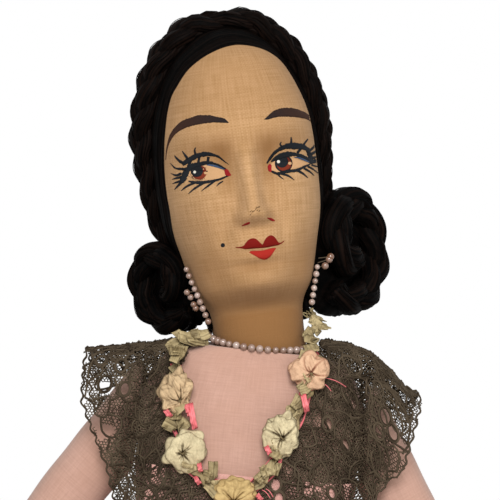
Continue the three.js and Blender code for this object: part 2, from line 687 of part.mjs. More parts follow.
// Combed hair: a cap over the skull with an arched opening for the face
const capGrow = seamGap + hairWall;
const hairOpening = [];
for (let i = 0; i <= 20; i += 1) {
  const angle = (Math.PI * i) / 20;
  const rise = hairlineTop - cheekHeight;
  hairOpening.push([hairlineHalfWidth * Math.cos(angle), cheekHeight + rise * Math.sin(angle)]);
}
hairOpening.push([-hairlineHalfWidth, -60], [hairlineHalfWidth, -60]);
const capHollow = headForm(seamGap, neckFoot - 1).add(headOuter);
const hairCap = headForm(capGrow, neckFoot)
  .subtract(capHollow)
  .subtract(prism(hairOpening, -200, maskEdge + 4))
  .intersect(box(point(-200, -200, napeHeight), point(200, 200, 300)));
add(headGroup, "hair_cap", hairCap, cloth.hair);

// Half width of the head at a depth and height
function cheekWidth(depth, height) {
  const at = headAt(height);
  const share = Math.min(Math.abs(depth - headSetback(height)) / at.y, 0.97);
  return at.x * (1 - share ** headPower) ** (1 / headPower);
}

// Crown braid: a flattened rope that follows the head over the crown from one side to the other
const braidOff = capGrow + 2 * seamGap + braidHalfThick;
const braidSteps = 14; // on each side of the crown
const braidLine = [];
for (let i = -braidSteps; i <= braidSteps; i += 1) {
  const share = Math.sin((Math.PI / 2) * (1 - Math.abs(i) / braidSteps));
  const height = braidEndHeight + (crownHeight - braidEndHeight) * share;
  const depth = braidBack + braidSweep * (1 - share);
  braidLine.push(point(Math.sign(i) * cheekWidth(depth, height), depth, height));
}
const braidRings = braidLine.map((place, i) => {
  const after = braidLine[Math.min(i + 1, braidLine.length - 1)];
  const before = braidLine[Math.max(i - 1, 0)];
  const along = after.clone().sub(before).normalize();
  const outward = point(-along.z, 0, along.x).normalize();
  const across = outward.clone().cross(along).normalize();
  const fromEnd = Math.min(i, braidLine.length - 1 - i) / braidSteps;
  const size = 0.7 + 0.3 * THREE.MathUtils.smoothstep(fromEnd, 0, 0.4);
  const centre = place.clone().addScaledVector(outward, braidOff);
  return oval(centre, outward, across, braidHalfThick * size, braidHalfWide * size, 10);
});
const crownBraid = skin(braidRings).subtract(headForm(capGrow + seamGap, neckFoot));
add(headGroup, "crown_braid", crownBraid, cloth.hair);

// A bun: one rope coiled from its rim to its middle, in a plane that faces outwards
function bun(side, rimRadius, ropeRadius, lift, space) {
  const facing = radians(bunFacing);
  const outward = point(side * Math.sin(facing), -Math.cos(facing), 0);
  const across = point(side * Math.cos(facing), Math.sin(facing), 0);
  const reach = rimRadius * Math.cos(facing) + ropeRadius * Math.sin(facing);
  const centre = point(side * (headAt(lift).x + space + reach * 0.55), bunBack, lift);
  const startRadius = rimRadius - ropeRadius;
  const pitch = 2 * ropeRadius + bunRopeGap;
  const winds = Math.max((startRadius - ropeRadius * 0.95) / pitch, 0.5);
  const turns = bunHold + (1 - bunHold) * winds;
  const steps = Math.ceil(turns * 20);
  const middles = [];
  for (let i = 0; i <= steps; i += 1) {
    const angle = (2 * Math.PI * turns * i) / steps;
    const wound = Math.max((angle / (2 * Math.PI) - bunHold) / (1 - bunHold), 0);
    const radius = startRadius - pitch * wound;
    const raise = ropeRadius * 0.5 * (i / steps);
    const middle = centre.clone()
      .addScaledVector(across, radius * Math.cos(angle + bunStart))
      .addScaledVector(alongZ, radius * Math.sin(angle + bunStart))
      .addScaledVector(outward, raise);
    middles.push(middle);
  }
  const rings = middles.map((middle, i) => {
    const after = middles[Math.min(i + 1, steps)];
    const before = middles[Math.max(i - 1, 0)];
    const along = after.clone().sub(before).normalize();
    const inPlane = along.clone().cross(outward).normalize();
    const normal = inPlane.clone().cross(along).normalize();
    const end = Math.min(i, steps - i);
    const size = ropeRadius * (end === 0 ? 0.55 : end === 1 ? 0.85 : 1);
    return oval(middle, inPlane, normal, size, size, 8);
  });
  let least = Infinity;
  for (let a = 0; a < middles.length; a += 1) {
    let walked = 0;
    for (let b = a + 1; b < middles.length; b += 1) {
      walked += middles[b].distanceTo(middles[b - 1]);
      if (walked > 3.6 * ropeRadius) {
        least = Math.min(least, middles[a].distanceTo(middles[b]) - 2 * ropeRadius);
      }
    }
  }
  console.log(`bun ${side > 0 ? "left" : "right"}: rope clears itself by ${least.toFixed(2)} mm`);
  return skin(rings);
}
const hairClear = headForm(capGrow + seamGap, neckFoot);
const bunRight = bun(-1, rightBunRadius, rightBunRope, rightBunLift, rightBunSide);
const bunLeft = bun(1, leftBunRadius, leftBunRope, leftBunLift, leftBunSide);
add(headGroup, "bun_right", bunRight.subtract(hairClear).subtract(crownBraid), cloth.hair);
add(headGroup, "bun_left", bunLeft.subtract(hairClear).subtract(crownBraid), cloth.hair);

// A string of beads along points, a swelling for each bead and thread between
function beadString(points, beadRadius, loop, round) {
  const rings = [];
  const count = points.length;
  for (let i = 0; i < count; i += 1) {
    const after = points[loop ? (i + 1) % count : Math.min(i + 1, count - 1)];
    const before = points[loop ? (i + count - 1) % count : Math.max(i - 1, 0)];
    const along = after.clone().sub(before).normalize();
    const across = round(points[i]).projectOnPlane(along).normalize();
    const deep = along.clone().cross(across);
    const radius = i % 2 ? beadRadius : beadThread;
    rings.push(oval(points[i], across, deep, radius, radius, 5));
  }
  return skin(rings, loop);
}

// Necklace round the neck seam, its front a little lower
const necklaceHalfWidth = neckHalfWidth + necklaceSlack + necklaceBead;
const necklaceHalfDepth = neckHalfDepth + 0.5 + necklaceSlack + necklaceBead;
const necklaceDip = 3.2; // front of the necklace below its sides
const necklaceHeight = neckRim + necklaceBead + 2 * seamGap + necklaceDip;
const beadCount = Math.round((2 * Math.PI * necklaceHalfWidth) / necklacePitch);
const necklacePoints = [];
for (let i = 0; i < 2 * beadCount; i += 1) {
  const angle = (Math.PI * i) / beadCount;
  const dip = necklaceDip * Math.sin(angle);
  const height = necklaceHeight + dip;
  necklacePoints.push(point(necklaceHalfWidth * Math.cos(angle), necklaceHalfDepth * Math.sin(angle), height));
}
const necklace = beadString(necklacePoints, necklaceBead, true, (p) => point(p.x, p.y, 0));
add(doll, "pearl_necklace", necklace, cloth.pearl);

// Earrings hang beside the jaw from the edge of the hair
for (const [name, side] of sides) {
  const top = side < 0 ? rightEarringTop : leftEarringTop;
  const count = side < 0 ? rightEarringBeads : leftEarringBeads;
  const points = [];
  for (let i = 0; i <= 2 * count; i += 1) {
    const height = top - (i * earringPitch) / 2;
    const out = cheekWidth(-earringForward, height) + earringBead + seamGap + 0.2;
    points.push(point(side * out, -earringForward, height));
  }
  const strand = beadString(points, earringBead, false, () => alongY.clone());
  add(headGroup, `earring_${name}`, strand, cloth.pearl);
}

// Lace collar over the chest and shoulders, cut to the neckline in front and behind
const laceGrow = seamGap + laceWall;
const collarFoot = neckSeamHeight - collarDrop;
const frontNeck = [...garlandRight].concat([...garlandLeft].reverse())
  .map(([x, down]) => [x, neckSeamHeight - down]);
const frontNeckOutline = [[garlandRight[0][0] + 4, neckSeamHeight + 40], ...frontNeck,
  [garlandLeft[0][0] - 2, neckSeamHeight + 40]];
const backNeckOutline = [
  [-backNeckHalfWidth, neckSeamHeight + 40],
  [-backNeckHalfWidth, neckSeamHeight - backNeckDrop * 0.4],
  [-backNeckHalfWidth * 0.5, neckSeamHeight - backNeckDrop],
  [backNeckHalfWidth * 0.5, neckSeamHeight - backNeckDrop],
  [backNeckHalfWidth, neckSeamHeight - backNeckDrop * 0.4],
  [backNeckHalfWidth, neckSeamHeight + 40],
];
const slipGrow = seamGap + slipWall;
const laceUnder = torsoForm(slipGrow + seamGap, collarFoot - 20, slipTop + seamGap)
  .add(torsoForm(seamGap, slipTop - 5, neckRim + 2));
const laceOver = torsoForm(slipGrow + laceGrow, collarFoot, neckRim);
const backHem = box(point(-200, 0, -50), point(200, 200, neckSeamHeight - collarBackDrop));
const laceCollar = laceOver
  .subtract(laceUnder)
  .intersect(betweenShoulders(0))
  .subtract(prism(frontNeckOutline, -200, 0))
  .subtract(prism(backNeckOutline, -0.01, 200))
  .subtract(backHem)
  .subtract(rod(necklaceHalfWidth + necklaceBead + 2, neckRim - 4, neckSeamHeight + 20));
add(doll, "lace_collar", laceCollar, cloth.lace);

// Lace sleeves stand off the tops of the arms, with folds at the hem
for (const [name, side] of sides) {
  const from = shoulderHalfWidth + seamGap;
  const middle = shoulderHeight + 7;
  const sleeve = (grow, extra) => skin([-extra, sleeveReach * 0.5, sleeveReach + extra].map((x) => {
    const share = Math.min(Math.max(x / sleeveReach, 0), 1);
    const centre = point(side * (from + x), 0, middle - 5 * share);
    const high = sleeveHalfHeight - 4 * share + grow;
    const deep = sleeveHalfDepth + sleeveFlare * share + grow;
    return oval(centre, alongZ, alongY, high, deep, 24, 2.3, 8, sleeveRipple * share);
  }));
  const hem = [
    [side * (from - 5), -60],
    [side * (from + sleeveReach + 5), -60],
    [side * (from + sleeveReach + 5), middle - sleeveCut + sleeveReach * 0.75],
    [side * (from - 5), middle - sleeveCut],
  ];
  const piece = sleeve(laceWall, 0).subtract(sleeve(0, 1)).subtract(prism(hem, -200, 200));
  add(doll, `lace_sleeve_${name}`, piece, cloth.lace);
}

// Garland: a rumpled ribbon rope along the neckline, from behind the neck to the bottom flower
const garlandOff = slipGrow + laceGrow + 3 * seamGap + garlandRadius;
const garlandPoint = ([x, down]) => {
  const height = neckSeamHeight - down;
  return point(x, -chestDepth(x, height) - garlandOff, height);
};
function garlandRope(list, grow) {
  const line = new THREE.CatmullRomCurve3(list.slice(1).map(garlandPoint), false, "centripetal");
  const rings = line.getPoints(16).map((place, i) => {
    const along = line.getTangent(i / 16);
    const beyond = i === 0 ? -grow : i === 16 ? grow : 0;
    const middle = place.clone().addScaledVector(along, beyond);
    const across = alongY.clone().projectOnPlane(along).normalize();
    const deep = along.clone().cross(across);
    const size = garlandRadius * (i % 2 ? 1 : 0.84) + grow;
    return oval(middle, across, deep, size, size * 1.35, 8);
  });
  return skin(rings);
}
add(doll, "garland_right", garlandRope(garlandRight, 0), cloth.leaf);
add(doll, "garland_left", garlandRope(garlandLeft, 0), cloth.leaf);
const garlandClear = garlandRope(garlandRight, seamGap).add(garlandRope(garlandLeft, seamGap));

for (const [name, x, down] of flowerPlaces) {
  const height = neckSeamHeight - down;
  const centre = point(x, -chestDepth(x, height) - garlandOff - garlandRadius * 0.7, height);
  const slope = chestDepth(x + 2, height) - chestDepth(x - 2, height);
  const facing = point(-slope / 4, -1, 0).normalize();
  const across = alongZ.clone().cross(facing).normalize();
  const rise = facing.clone().cross(across).normalize();
  const ringAt = (out, radius, ripple) => oval(
    centre.clone().addScaledVector(facing, out), across, rise, radius, radius, 12, 2, 3, ripple);
  const rosette = skin([
    ringAt(0, flowerRadius * 0.6, 0),
    ringAt(flowerHeight * 0.35, flowerRadius, 0.6),
    ringAt(flowerHeight * 0.65, flowerRadius * 0.96, 0.7),
    ringAt(flowerHeight, flowerRadius * 0.5, 0.2),
    ringAt(flowerHeight * 0.7, flowerRadius * 0.25, 0),
  ]);
  add(doll, name, rosette.subtract(garlandClear), cloth.petal);
}

export default doll;
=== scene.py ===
import json
import math

import bmesh
import bpy
import numpy as np
from mathutils import Matrix, Vector
from mathutils.bvhtree import BVHTree

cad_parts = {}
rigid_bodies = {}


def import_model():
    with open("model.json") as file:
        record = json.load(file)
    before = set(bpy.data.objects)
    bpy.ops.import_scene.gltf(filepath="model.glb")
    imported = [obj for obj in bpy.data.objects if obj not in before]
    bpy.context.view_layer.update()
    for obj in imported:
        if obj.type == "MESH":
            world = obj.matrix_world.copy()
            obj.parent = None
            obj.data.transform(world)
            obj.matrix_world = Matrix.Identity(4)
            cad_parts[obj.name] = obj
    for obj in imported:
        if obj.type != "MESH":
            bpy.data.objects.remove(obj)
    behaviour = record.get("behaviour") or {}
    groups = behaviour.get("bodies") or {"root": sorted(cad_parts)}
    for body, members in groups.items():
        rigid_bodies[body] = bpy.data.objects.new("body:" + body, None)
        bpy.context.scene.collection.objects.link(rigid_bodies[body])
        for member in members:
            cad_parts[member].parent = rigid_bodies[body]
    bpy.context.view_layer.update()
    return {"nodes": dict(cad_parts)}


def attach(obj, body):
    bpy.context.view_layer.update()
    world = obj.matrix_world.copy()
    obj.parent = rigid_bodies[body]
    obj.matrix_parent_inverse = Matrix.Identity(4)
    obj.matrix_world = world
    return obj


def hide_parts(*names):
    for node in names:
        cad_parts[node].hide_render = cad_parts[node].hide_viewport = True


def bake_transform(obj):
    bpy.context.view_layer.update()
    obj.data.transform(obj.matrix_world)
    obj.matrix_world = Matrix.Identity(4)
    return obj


for spare in list(bpy.data.objects):
    bpy.data.objects.remove(spare)
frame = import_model()
print("frame loaded:", len(frame["nodes"]), "solids")

# Lengths in this script are millimetres in the doll's frame, and go to metres when a mesh is made
metres = 0.001
sideways, upward = np.array([1.0, 0, 0]), np.array([0, 0, 1.0])
sides = {"Right": -1, "Left": 1}


def linear(hexText):
    channels = [int(hexText[i:i + 2], 16) / 255 for i in (1, 3, 5)]
    return [c / 12.92 if c <= 0.04045 else ((c + 0.055) / 1.055) ** 2.4 for c in channels] + [1.0]


def addNode(tree, kind, settings=None, inputs=None):
    # settings are the node's own options; an input takes a value or another node's output
    node = tree.nodes.new(kind)
    for key, value in (settings or {}).items():
        setattr(node, key, value)
    for key, value in (inputs or {}).items():
        if isinstance(value, bpy.types.NodeSocket):
            tree.links.new(value, node.inputs[key])
        else:
            node.inputs[key].default_value = value
    return node


def smoothstep(value, low, high):
    t = np.clip((np.asarray(value, float) - low) / (high - low), 0, 1)
    return t * t * (3 - 2 * t)


def smoothCurve(points, count):
    p = np.asarray(points, float)
    p = np.vstack([2 * p[0] - p[1], p, 2 * p[-1] - p[-2]])
    t = np.linspace(0, len(p) - 3, count)
    i = np.minimum(t.astype(int), len(p) - 4)
    f = (t - i)[:, None]
    a, b, c, d = p[i], p[i + 1], p[i + 2], p[i + 3]
    return 0.5 * (2 * b + (c - a) * f + (2 * a - 5 * b + 4 * c - d) * f ** 2 + (3 * b - a - 3 * c + d) * f ** 3)


def runOf(line):
    # running length along a line of points
    return np.concatenate([[0], np.cumsum(np.linalg.norm(np.diff(line, axis=0), axis=1))])


def evenly(line, count):
    line = np.asarray(line, float)
    run = runOf(line)
    at = np.linspace(0, run[-1], count)
    return np.stack([np.interp(at, run, line[:, k]) for k in range(line.shape[1])], 1)


def lengthOf(line):
    return float(np.linalg.norm(np.diff(np.asarray(line, float), axis=0), axis=1).sum())


def signedPower(value, power):
    return np.sign(value) * np.abs(value) ** power


def unit(vectors):
    vectors = np.asarray(vectors, float)
    return vectors / np.maximum(np.linalg.norm(vectors, axis=-1, keepdims=True), 1e-9)


# Mesh making

def addObject(name, data):
    thing = bpy.data.objects.new(name, data)
    bpy.context.scene.collection.objects.link(thing)
    return thing


def makePiece(name, points, faces, material, uv=None, tone=None, outward=False):
    data = bpy.data.meshes.new(name)
    data.from_pydata((np.asarray(points, float) * metres).tolist(), [], faces)
    if uv is not None:
        layer = data.uv_layers.new(name="cloth")
        layer.data.foreach_set("uv", (np.asarray(uv, float) * metres).astype(np.float32).ravel())
    if tone is not None:
        data.attributes.new("tone", "FLOAT", "POINT").data.foreach_set("value", np.asarray(tone, np.float32))
    if outward:
        work = bmesh.new()
        work.from_mesh(data)
        bmesh.ops.recalc_face_normals(work, faces=work.faces)
        work.to_mesh(data)
        work.free()
    data.polygons.foreach_set("use_smooth", [True] * len(data.polygons))
    data.materials.append(material)
    return addObject(name, data)


def gridPiece(name, points, material, around=False, caps=(False, False), tone=None, outward=True):
    rows, cols = points.shape[:2]
    i, j = np.meshgrid(np.arange(rows - 1), np.arange(cols if around else cols - 1), indexing="ij")
    k = (j + 1) % cols
    faces = np.stack([i * cols + j, i * cols + k, (i + 1) * cols + k, (i + 1) * cols + j], -1).reshape(-1, 4).tolist()
    closed = np.concatenate([points, points[:, :1]], 1) if around else points
    across = np.concatenate([[0], np.cumsum(np.linalg.norm(np.diff(closed, axis=1), axis=2).mean(0))])
    along = np.concatenate([[0], np.cumsum(np.linalg.norm(np.diff(points, axis=0), axis=2).mean(1))])
    low, high = across[j], across[j + 1]
    uv = np.stack([low, along[i], high, along[i], high, along[i + 1], low, along[i + 1]], -1).reshape(-1, 2).tolist()
    flat = points.reshape(-1, 3)
    tones = None if tone is None else np.asarray(tone, float).ravel()
    for wanted, row in zip(caps, (0, rows - 1)):
        if wanted:
            flat = np.vstack([flat, points[row].mean(0)])
            if tones is not None:
                tones = np.append(tones, tones[row * cols])
            for c in range(cols):
                d = (c + 1) % cols
                faces.append([row * cols + c, row * cols + d, len(flat) - 1])
                uv += [(across[c], along[row]), (across[c + 1 if around else d], along[row]),
                       (across[c], along[row] + 4)]
    return makePiece(name, flat, faces, material, uv, tones, outward)


def joined(name, pieces):
    first = pieces[0]
    if len(pieces) > 1:
        with bpy.context.temp_override(active_object=first, object=first, selected_editable_objects=pieces,
                                       selected_objects=pieces):
            bpy.ops.object.join()
    first.name = name
    first.data.name = name
    return first


# Geometry Nodes: a tree that turns drawn lines into thread, and one that sets beads on points

def newTree(name, inputs):
    tree = bpy.data.node_groups.new(name, "GeometryNodeTree")
    tree.interface.new_socket("Geometry", in_out="INPUT", socket_type="NodeSocketGeometry")
    for label, kind in inputs:
        tree.interface.new_socket(label, in_out="INPUT", socket_type=kind)
    tree.interface.new_socket("Geometry", in_out="OUTPUT", socket_type="NodeSocketGeometry")
    return tree, addNode(tree, "NodeGroupInput")


def endTree(tree, source, material):
    whole = addNode(tree, "GeometryNodeRealizeInstances", None, {0: source})
    dressed = addNode(tree, "GeometryNodeSetMaterial", None, {"Geometry": whole.outputs[0], "Material": material})
    smooth = addNode(tree, "GeometryNodeSetShadeSmooth", None, {0: dressed.outputs[0]})
    addNode(tree, "NodeGroupOutput", None, {0: smooth.outputs[0]})
    return tree


def threadTree():
    tree, given = newTree("threadFromLines", [("Thickness", "NodeSocketFloat"), ("Sides", "NodeSocketInt"),
                                              ("Material", "NodeSocketMaterial")])
    lines = addNode(tree, "GeometryNodeMeshToCurve", None, {0: given.outputs["Geometry"]})
    own = addNode(tree, "GeometryNodeInputNamedAttribute", {"data_type": "FLOAT"}, {"Name": "thick"})
    sized = addNode(tree, "GeometryNodeSetCurveRadius", None, {"Curve": lines.outputs[0], "Radius": own.outputs[0]})
    ring = addNode(tree, "GeometryNodeCurvePrimitiveCircle", None,
                   {"Resolution": given.outputs["Sides"], "Radius": given.outputs["Thickness"]})
    tube = addNode(tree, "GeometryNodeCurveToMesh", None,
                   {"Curve": sized.outputs[0], "Profile Curve": ring.outputs[0], "Fill Caps": True})
    return endTree(tree, tube.outputs[0], given.outputs["Material"])


def beadTree():
    tree, given = newTree("beadsOnPoints", [("Radius", "NodeSocketFloat"), ("Segments", "NodeSocketInt"),
                                            ("Material", "NodeSocketMaterial")])
    bead = addNode(tree, "GeometryNodeMeshUVSphere", None,
                   {"Rings": 8, "Segments": given.outputs["Segments"], "Radius": given.outputs["Radius"]})
    own = addNode(tree, "GeometryNodeInputNamedAttribute", {"data_type": "FLOAT"}, {"Name": "thick"})
    points = addNode(tree, "GeometryNodeMeshToPoints", None, {0: given.outputs["Geometry"]})
    placed = addNode(tree, "GeometryNodeInstanceOnPoints", None,
                     {"Points": points.outputs[0], "Instance": bead.outputs[0], "Scale": own.outputs[0]})
    return endTree(tree, placed.outputs[0], given.outputs["Material"])


threads, beadsOnPoints = threadTree(), beadTree()


def grow(tree, name, points, edges, thick, tone, inputs):
    data = bpy.data.meshes.new(name + "Lines")
    data.from_pydata((np.asarray(points, float) * metres).tolist(), edges, [])
    for label, values in (("thick", thick), ("tone", tone)):
        spread = np.broadcast_to(np.asarray(values, np.float32), (len(data.vertices),))
        data.attributes.new(label, "FLOAT", "POINT").data.foreach_set("value", np.ascontiguousarray(spread))
    drawn = addObject(name + "Lines", data)
    modifier = drawn.modifiers.new("grow", "NODES")
    modifier.node_group = tree
    for socket in tree.interface.items_tree:
        if socket.in_out == "INPUT" and socket.name in inputs:
            modifier[socket.identifier] = inputs[socket.name]
    ready = drawn.evaluated_get(bpy.context.evaluated_depsgraph_get())
    final = bpy.data.meshes.new_from_object(ready)
    final.name = name
    piece = addObject(name, final)
    bpy.data.objects.remove(drawn)
    return piece


def threadPiece(name, lines, radius, material, sides, tone=None):
    # lines: arrays of points; tone: one value for each line
    edges, first = [], 0
    for line in lines:
        edges += [(first + n, first + n + 1) for n in range(len(line) - 1)]
        first += len(line)
    tones = 0.5 if tone is None else np.repeat(tone, [len(line) for line in lines])
    return grow(threads, name, np.concatenate(lines), edges, 1.0, tones,
                {"Thickness": radius * metres, "Sides": sides, "Material": material})


def beadPiece(name, points, radius, thick, tone):
    return grow(beadsOnPoints, name, points, [], thick, tone,
                {"Radius": radius * metres, "Segments": 12, "Material": pearl})


# Camera: the photograph is square, 220 mm across at the doll, and the doll leans 6 degrees in it
photo = {"side": 500, "mmPerPixel": 0.44, "lean": 6.0, "plane": -20.0, "distance": 950.0, "middle": (-8.74, 246.1)}

lean = math.radians(photo["lean"])
imageRight = np.array([math.cos(lean), 0, math.sin(lean)])
imageUp = np.array([-math.sin(lean), 0, math.cos(lean)])
eye = np.array([photo["middle"][0], photo["plane"] - photo["distance"], photo["middle"][1]])


def makeCamera():
    data = bpy.data.cameras.new("portraitCamera")
    data.sensor_width = 36
    data.lens = 36 * photo["distance"] / (photo["side"] * photo["mmPerPixel"])
    data.clip_start, data.clip_end = 0.05, 20
    camera = addObject("portraitCamera", data)
    turn = Matrix((imageRight, imageUp, (0, -1, 0))).transposed().to_4x4()
    camera.matrix_world = Matrix.Translation(Vector(eye * metres)) @ turn
    bpy.context.scene.camera = camera


makeCamera()


def sightLine(px, py):
    half = photo["side"] / 2
    target = (np.array([photo["middle"][0], photo["plane"], photo["middle"][1]])
              + imageRight * (px - half) * photo["mmPerPixel"] + imageUp * (half - py) * photo["mmPerPixel"])
    return unit(target - eye)


# Materials. Patterns follow the cloth's own UV, the piece's tone, or Object coordinates, with scales from millimetres

def newMaterial(name, finish):
    material = bpy.data.materials.new(name)
    material.use_nodes = True
    tree = material.node_tree
    tree.nodes.clear()
    shader = addNode(tree, "ShaderNodeBsdfPrincipled", None, finish)
    addNode(tree, "ShaderNodeOutputMaterial", None, {"Surface": shader.outputs[0]})
    return material, tree, shader


def wovenMaterial(name, weave):
    # plain weave: two sets of uneven threads from stretched noise, a faint regular over-and-under, and soiled patches;
    # the piece's own tone, old dust and on the face painted shade, also pulls it to the stain colour
    material, tree, shader = newMaterial(name, {"Roughness": weave["rough"], "Sheen Weight": weave["sheen"],
                                                "Sheen Roughness": 0.6, "Specular IOR Level": 0.25})
    spacing = weave["spacing"] * metres
    cloth = addNode(tree, "ShaderNodeUVMap", {"uv_map": "cloth"}).outputs[0]
    threadWays = []
    for stretch in ((weave["run"], 1.0, 1.0), (1.0, weave["run"], 1.0)):
        drawn = addNode(tree, "ShaderNodeMapping", None, {"Vector": cloth, "Scale": stretch})
        uneven = addNode(tree, "ShaderNodeTexNoise", None, {"Vector": drawn.outputs[0], "Scale": 1.0 / spacing,
                                                            "Detail": 3.0, "Roughness": 0.6})
        threadWays.append(uneven.outputs["Fac"])
    both = addNode(tree, "ShaderNodeMath", {"operation": "ADD"}, {0: threadWays[0], 1: threadWays[1]})
    cross = addNode(tree, "ShaderNodeTexChecker", None, {"Vector": cloth, "Scale": 1.0 / spacing})
    height = addNode(tree, "ShaderNodeMath", {"operation": "MULTIPLY_ADD"},
                     {0: cross.outputs["Fac"], 1: weave["over"], 2: both.outputs[0]})
    shade = addNode(tree, "ShaderNodeMapRange", None,
                    {"Value": height.outputs[0], "From Min": 0.72, "From Max": 1.3 + weave["over"]})
    body = addNode(tree, "ShaderNodeMix", {"data_type": "RGBA"},
                   {0: shade.outputs[0], 6: linear(weave["hollow"]), 7: linear(weave["crown"])})
    where = addNode(tree, "ShaderNodeTexCoord").outputs["Object"]
    cloud = addNode(tree, "ShaderNodeTexNoise", None, {"Vector": where, "Scale": weave["patch"], "Detail": 4.0})
    soiled = addNode(tree, "ShaderNodeMapRange", None, {"Value": cloud.outputs["Fac"], "From Min": 0.42,
                                                        "From Max": 0.78, "To Max": weave["soil"]})
    # the piece's tone attribute: old dust, and on the face painted shade
    dustAndShade = addNode(tree, "ShaderNodeAttribute", {"attribute_name": "tone"})
    soilAndShade = addNode(tree, "ShaderNodeMath", {"operation": "MAXIMUM"}, {0: soiled.outputs[0], 1: dustAndShade.outputs["Fac"]})
    colour = addNode(tree, "ShaderNodeMix", {"data_type": "RGBA"},
                     {0: soilAndShade.outputs[0], 6: body.outputs[2], 7: linear(weave["stainAndShade"])})
    tree.links.new(colour.outputs[2], shader.inputs["Base Color"])
    bump = addNode(tree, "ShaderNodeBump", None,
                   {"Strength": weave["bump"], "Distance": spacing * 0.4, "Height": height.outputs[0]})
    tree.links.new(bump.outputs[0], shader.inputs["Normal"])
    return material


def tonedMaterial(name, dark, light, rough, grain, bump, finish=None, stretch=(1.0, 1.0, 1.0)):
    # a finish whose colour runs from dark to light with each piece's own tone, broken up by a fine grain
    material, tree, shader = newMaterial(name, {"Roughness": rough, **(finish or {})})
    tone = addNode(tree, "ShaderNodeAttribute", {"attribute_name": "tone"})
    where = addNode(tree, "ShaderNodeTexCoord")
    placed = addNode(tree, "ShaderNodeMapping", None, {"Vector": where.outputs["Object"], "Scale": stretch})
    fine = addNode(tree, "ShaderNodeTexNoise", None, {"Vector": placed.outputs[0], "Scale": grain, "Detail": 3.0})
    spread = addNode(tree, "ShaderNodeMapRange", None,
                     {"Value": fine.outputs["Fac"], "To Min": -0.25, "To Max": 0.25})
    shade = addNode(tree, "ShaderNodeMath", {"operation": "ADD", "use_clamp": True},
                    {0: tone.outputs["Fac"], 1: spread.outputs[0]})
    colour = addNode(tree, "ShaderNodeMix", {"data_type": "RGBA"},
                     {0: shade.outputs[0], 6: linear(dark), 7: linear(light)})
    tree.links.new(colour.outputs[2], shader.inputs["Base Color"])
    rise = addNode(tree, "ShaderNodeBump", None,
                   {"Strength": bump, "Distance": 0.0004, "Height": fine.outputs["Fac"]})
    tree.links.new(rise.outputs[0], shader.inputs["Normal"])
    return material


# Sized linen: stiff tan plain weave, matt, darker in its hollows. Its 0.4 mm threads are drawn at 0.7 mm, to show
# its stain colour also takes the face's painted shade
linen = wovenMaterial("sizedLinen", {
    "spacing": 0.7, "run": 0.05, "over": 0.14, "hollow": "#99754a", "crown": "#bc956d", "stainAndShade": "#7d5730",
    "patch": 38, "soil": 0.32, "rough": 0.9, "sheen": 0.04, "bump": 0.35})
# Napped cotton: soft pink flannel, brushed so that its nap hides the weave and blooms at the edges
flannel = wovenMaterial("nappedCotton", {
    "spacing": 0.8, "run": 0.07, "over": 0.03, "hollow": "#ab8676", "crown": "#ba9484", "stainAndShade": "#a87e68",
    "patch": 34, "soil": 0.4, "rough": 0.95, "sheen": 0.2, "bump": 0.3})
# Cotton voile: thin pink slip cloth, a little brighter than the flannel
voile = wovenMaterial("cottonVoile", {
    "spacing": 0.7, "run": 0.08, "over": 0.1, "hollow": "#bd8b80", "crown": "#d9a99c", "stainAndShade": "#b9837a",
    "patch": 30, "soil": 0.35, "rough": 0.85, "sheen": 0.12, "bump": 0.3})
# Felt: pressed dark wool, no weave to speak of, fuzzy at grazing light
felt = wovenMaterial("brownFelt", {
    "spacing": 0.6, "run": 0.8, "over": 0.0, "hollow": "#2f221b", "crown": "#48362c", "stainAndShade": "#241913",
    "patch": 60, "soil": 0.5, "rough": 0.95, "sheen": 0.3, "bump": 0.4})
# Floss hair: brown-black silk floss, combed and plaited, its gloss almost gone; its lighter strands are painted sheen
# over a random strand tone
floss = tonedMaterial("silkFlossHair", "#020202", "#170e0a", 0.6, 500, 0.12, {"Specular IOR Level": 0.02})
# Lace thread: dark taupe cotton, matt, washed out to grey and olive in places
laceThread = tonedMaterial("laceThread", "#31281e", "#665948", 0.9, 160, 0.3, {"Specular IOR Level": 0.1})
# Silk ribbon, faded: olive leaves and coral scraps, with a faint sheen
leafSilk = tonedMaterial("oliveRibbon", "#55472d", "#ad9c74", 0.62, 900, 0.25, {"Specular IOR Level": 0.2})
coralSilk = tonedMaterial("coralRibbon", "#bb4f55", "#ea8386", 0.6, 900, 0.25, {"Specular IOR Level": 0.2})
# Pearly glass beads: dipped glass, bronze to pale lilac, a thin lustre film under a clear coat
pearl = tonedMaterial("pearlGlass", "#643f25", "#ab968c", 0.25, 420, 0.02, {
    "Coat Weight": 0.7, "Coat Roughness": 0.06, "Thin Film Thickness": 420.0, "Thin Film IOR": 1.5})
# Sewing cotton for the hems
sewing = tonedMaterial("sewingCotton", "#b07f72", "#d6a899", 0.85, 900, 0.3)
# Waxed beech: pale turned wood, straight fine grain, satin
beech = tonedMaterial("waxedBeech", "#5d3d23", "#94703f", 0.45, 160, 0.2, None, (1.0, 0.08, 1.0))

# Water-bound face paint, brushed thinly on cloth: matt, and the weave breaks it up
paintColours = {"brow": ("#1d1a1b", "#40291f"), "black": ("#0d0f12", "#23262a"), "iris": ("#4e1c12", "#7a3220"),
                "upperLip": ("#62120f", "#741610"), "lowerLip": ("#8c1f19", "#9f2b22"), "red": ("#701518", "#8e1f21"),
                "blue": ("#26344a", "#43546f"), "pale": ("#ab845c", "#bd9670"), "light": ("#b9b3a6", "#d9d3c4"),
                "scuff": ("#4d3823", "#6b5034")}
paints = {name: tonedMaterial(f"{name}FacePaint", dark, light, 0.75, 1500, 0.35, {"Specular IOR Level": 0.06})
          for name, (dark, light) in paintColours.items()}
print("materials ready")

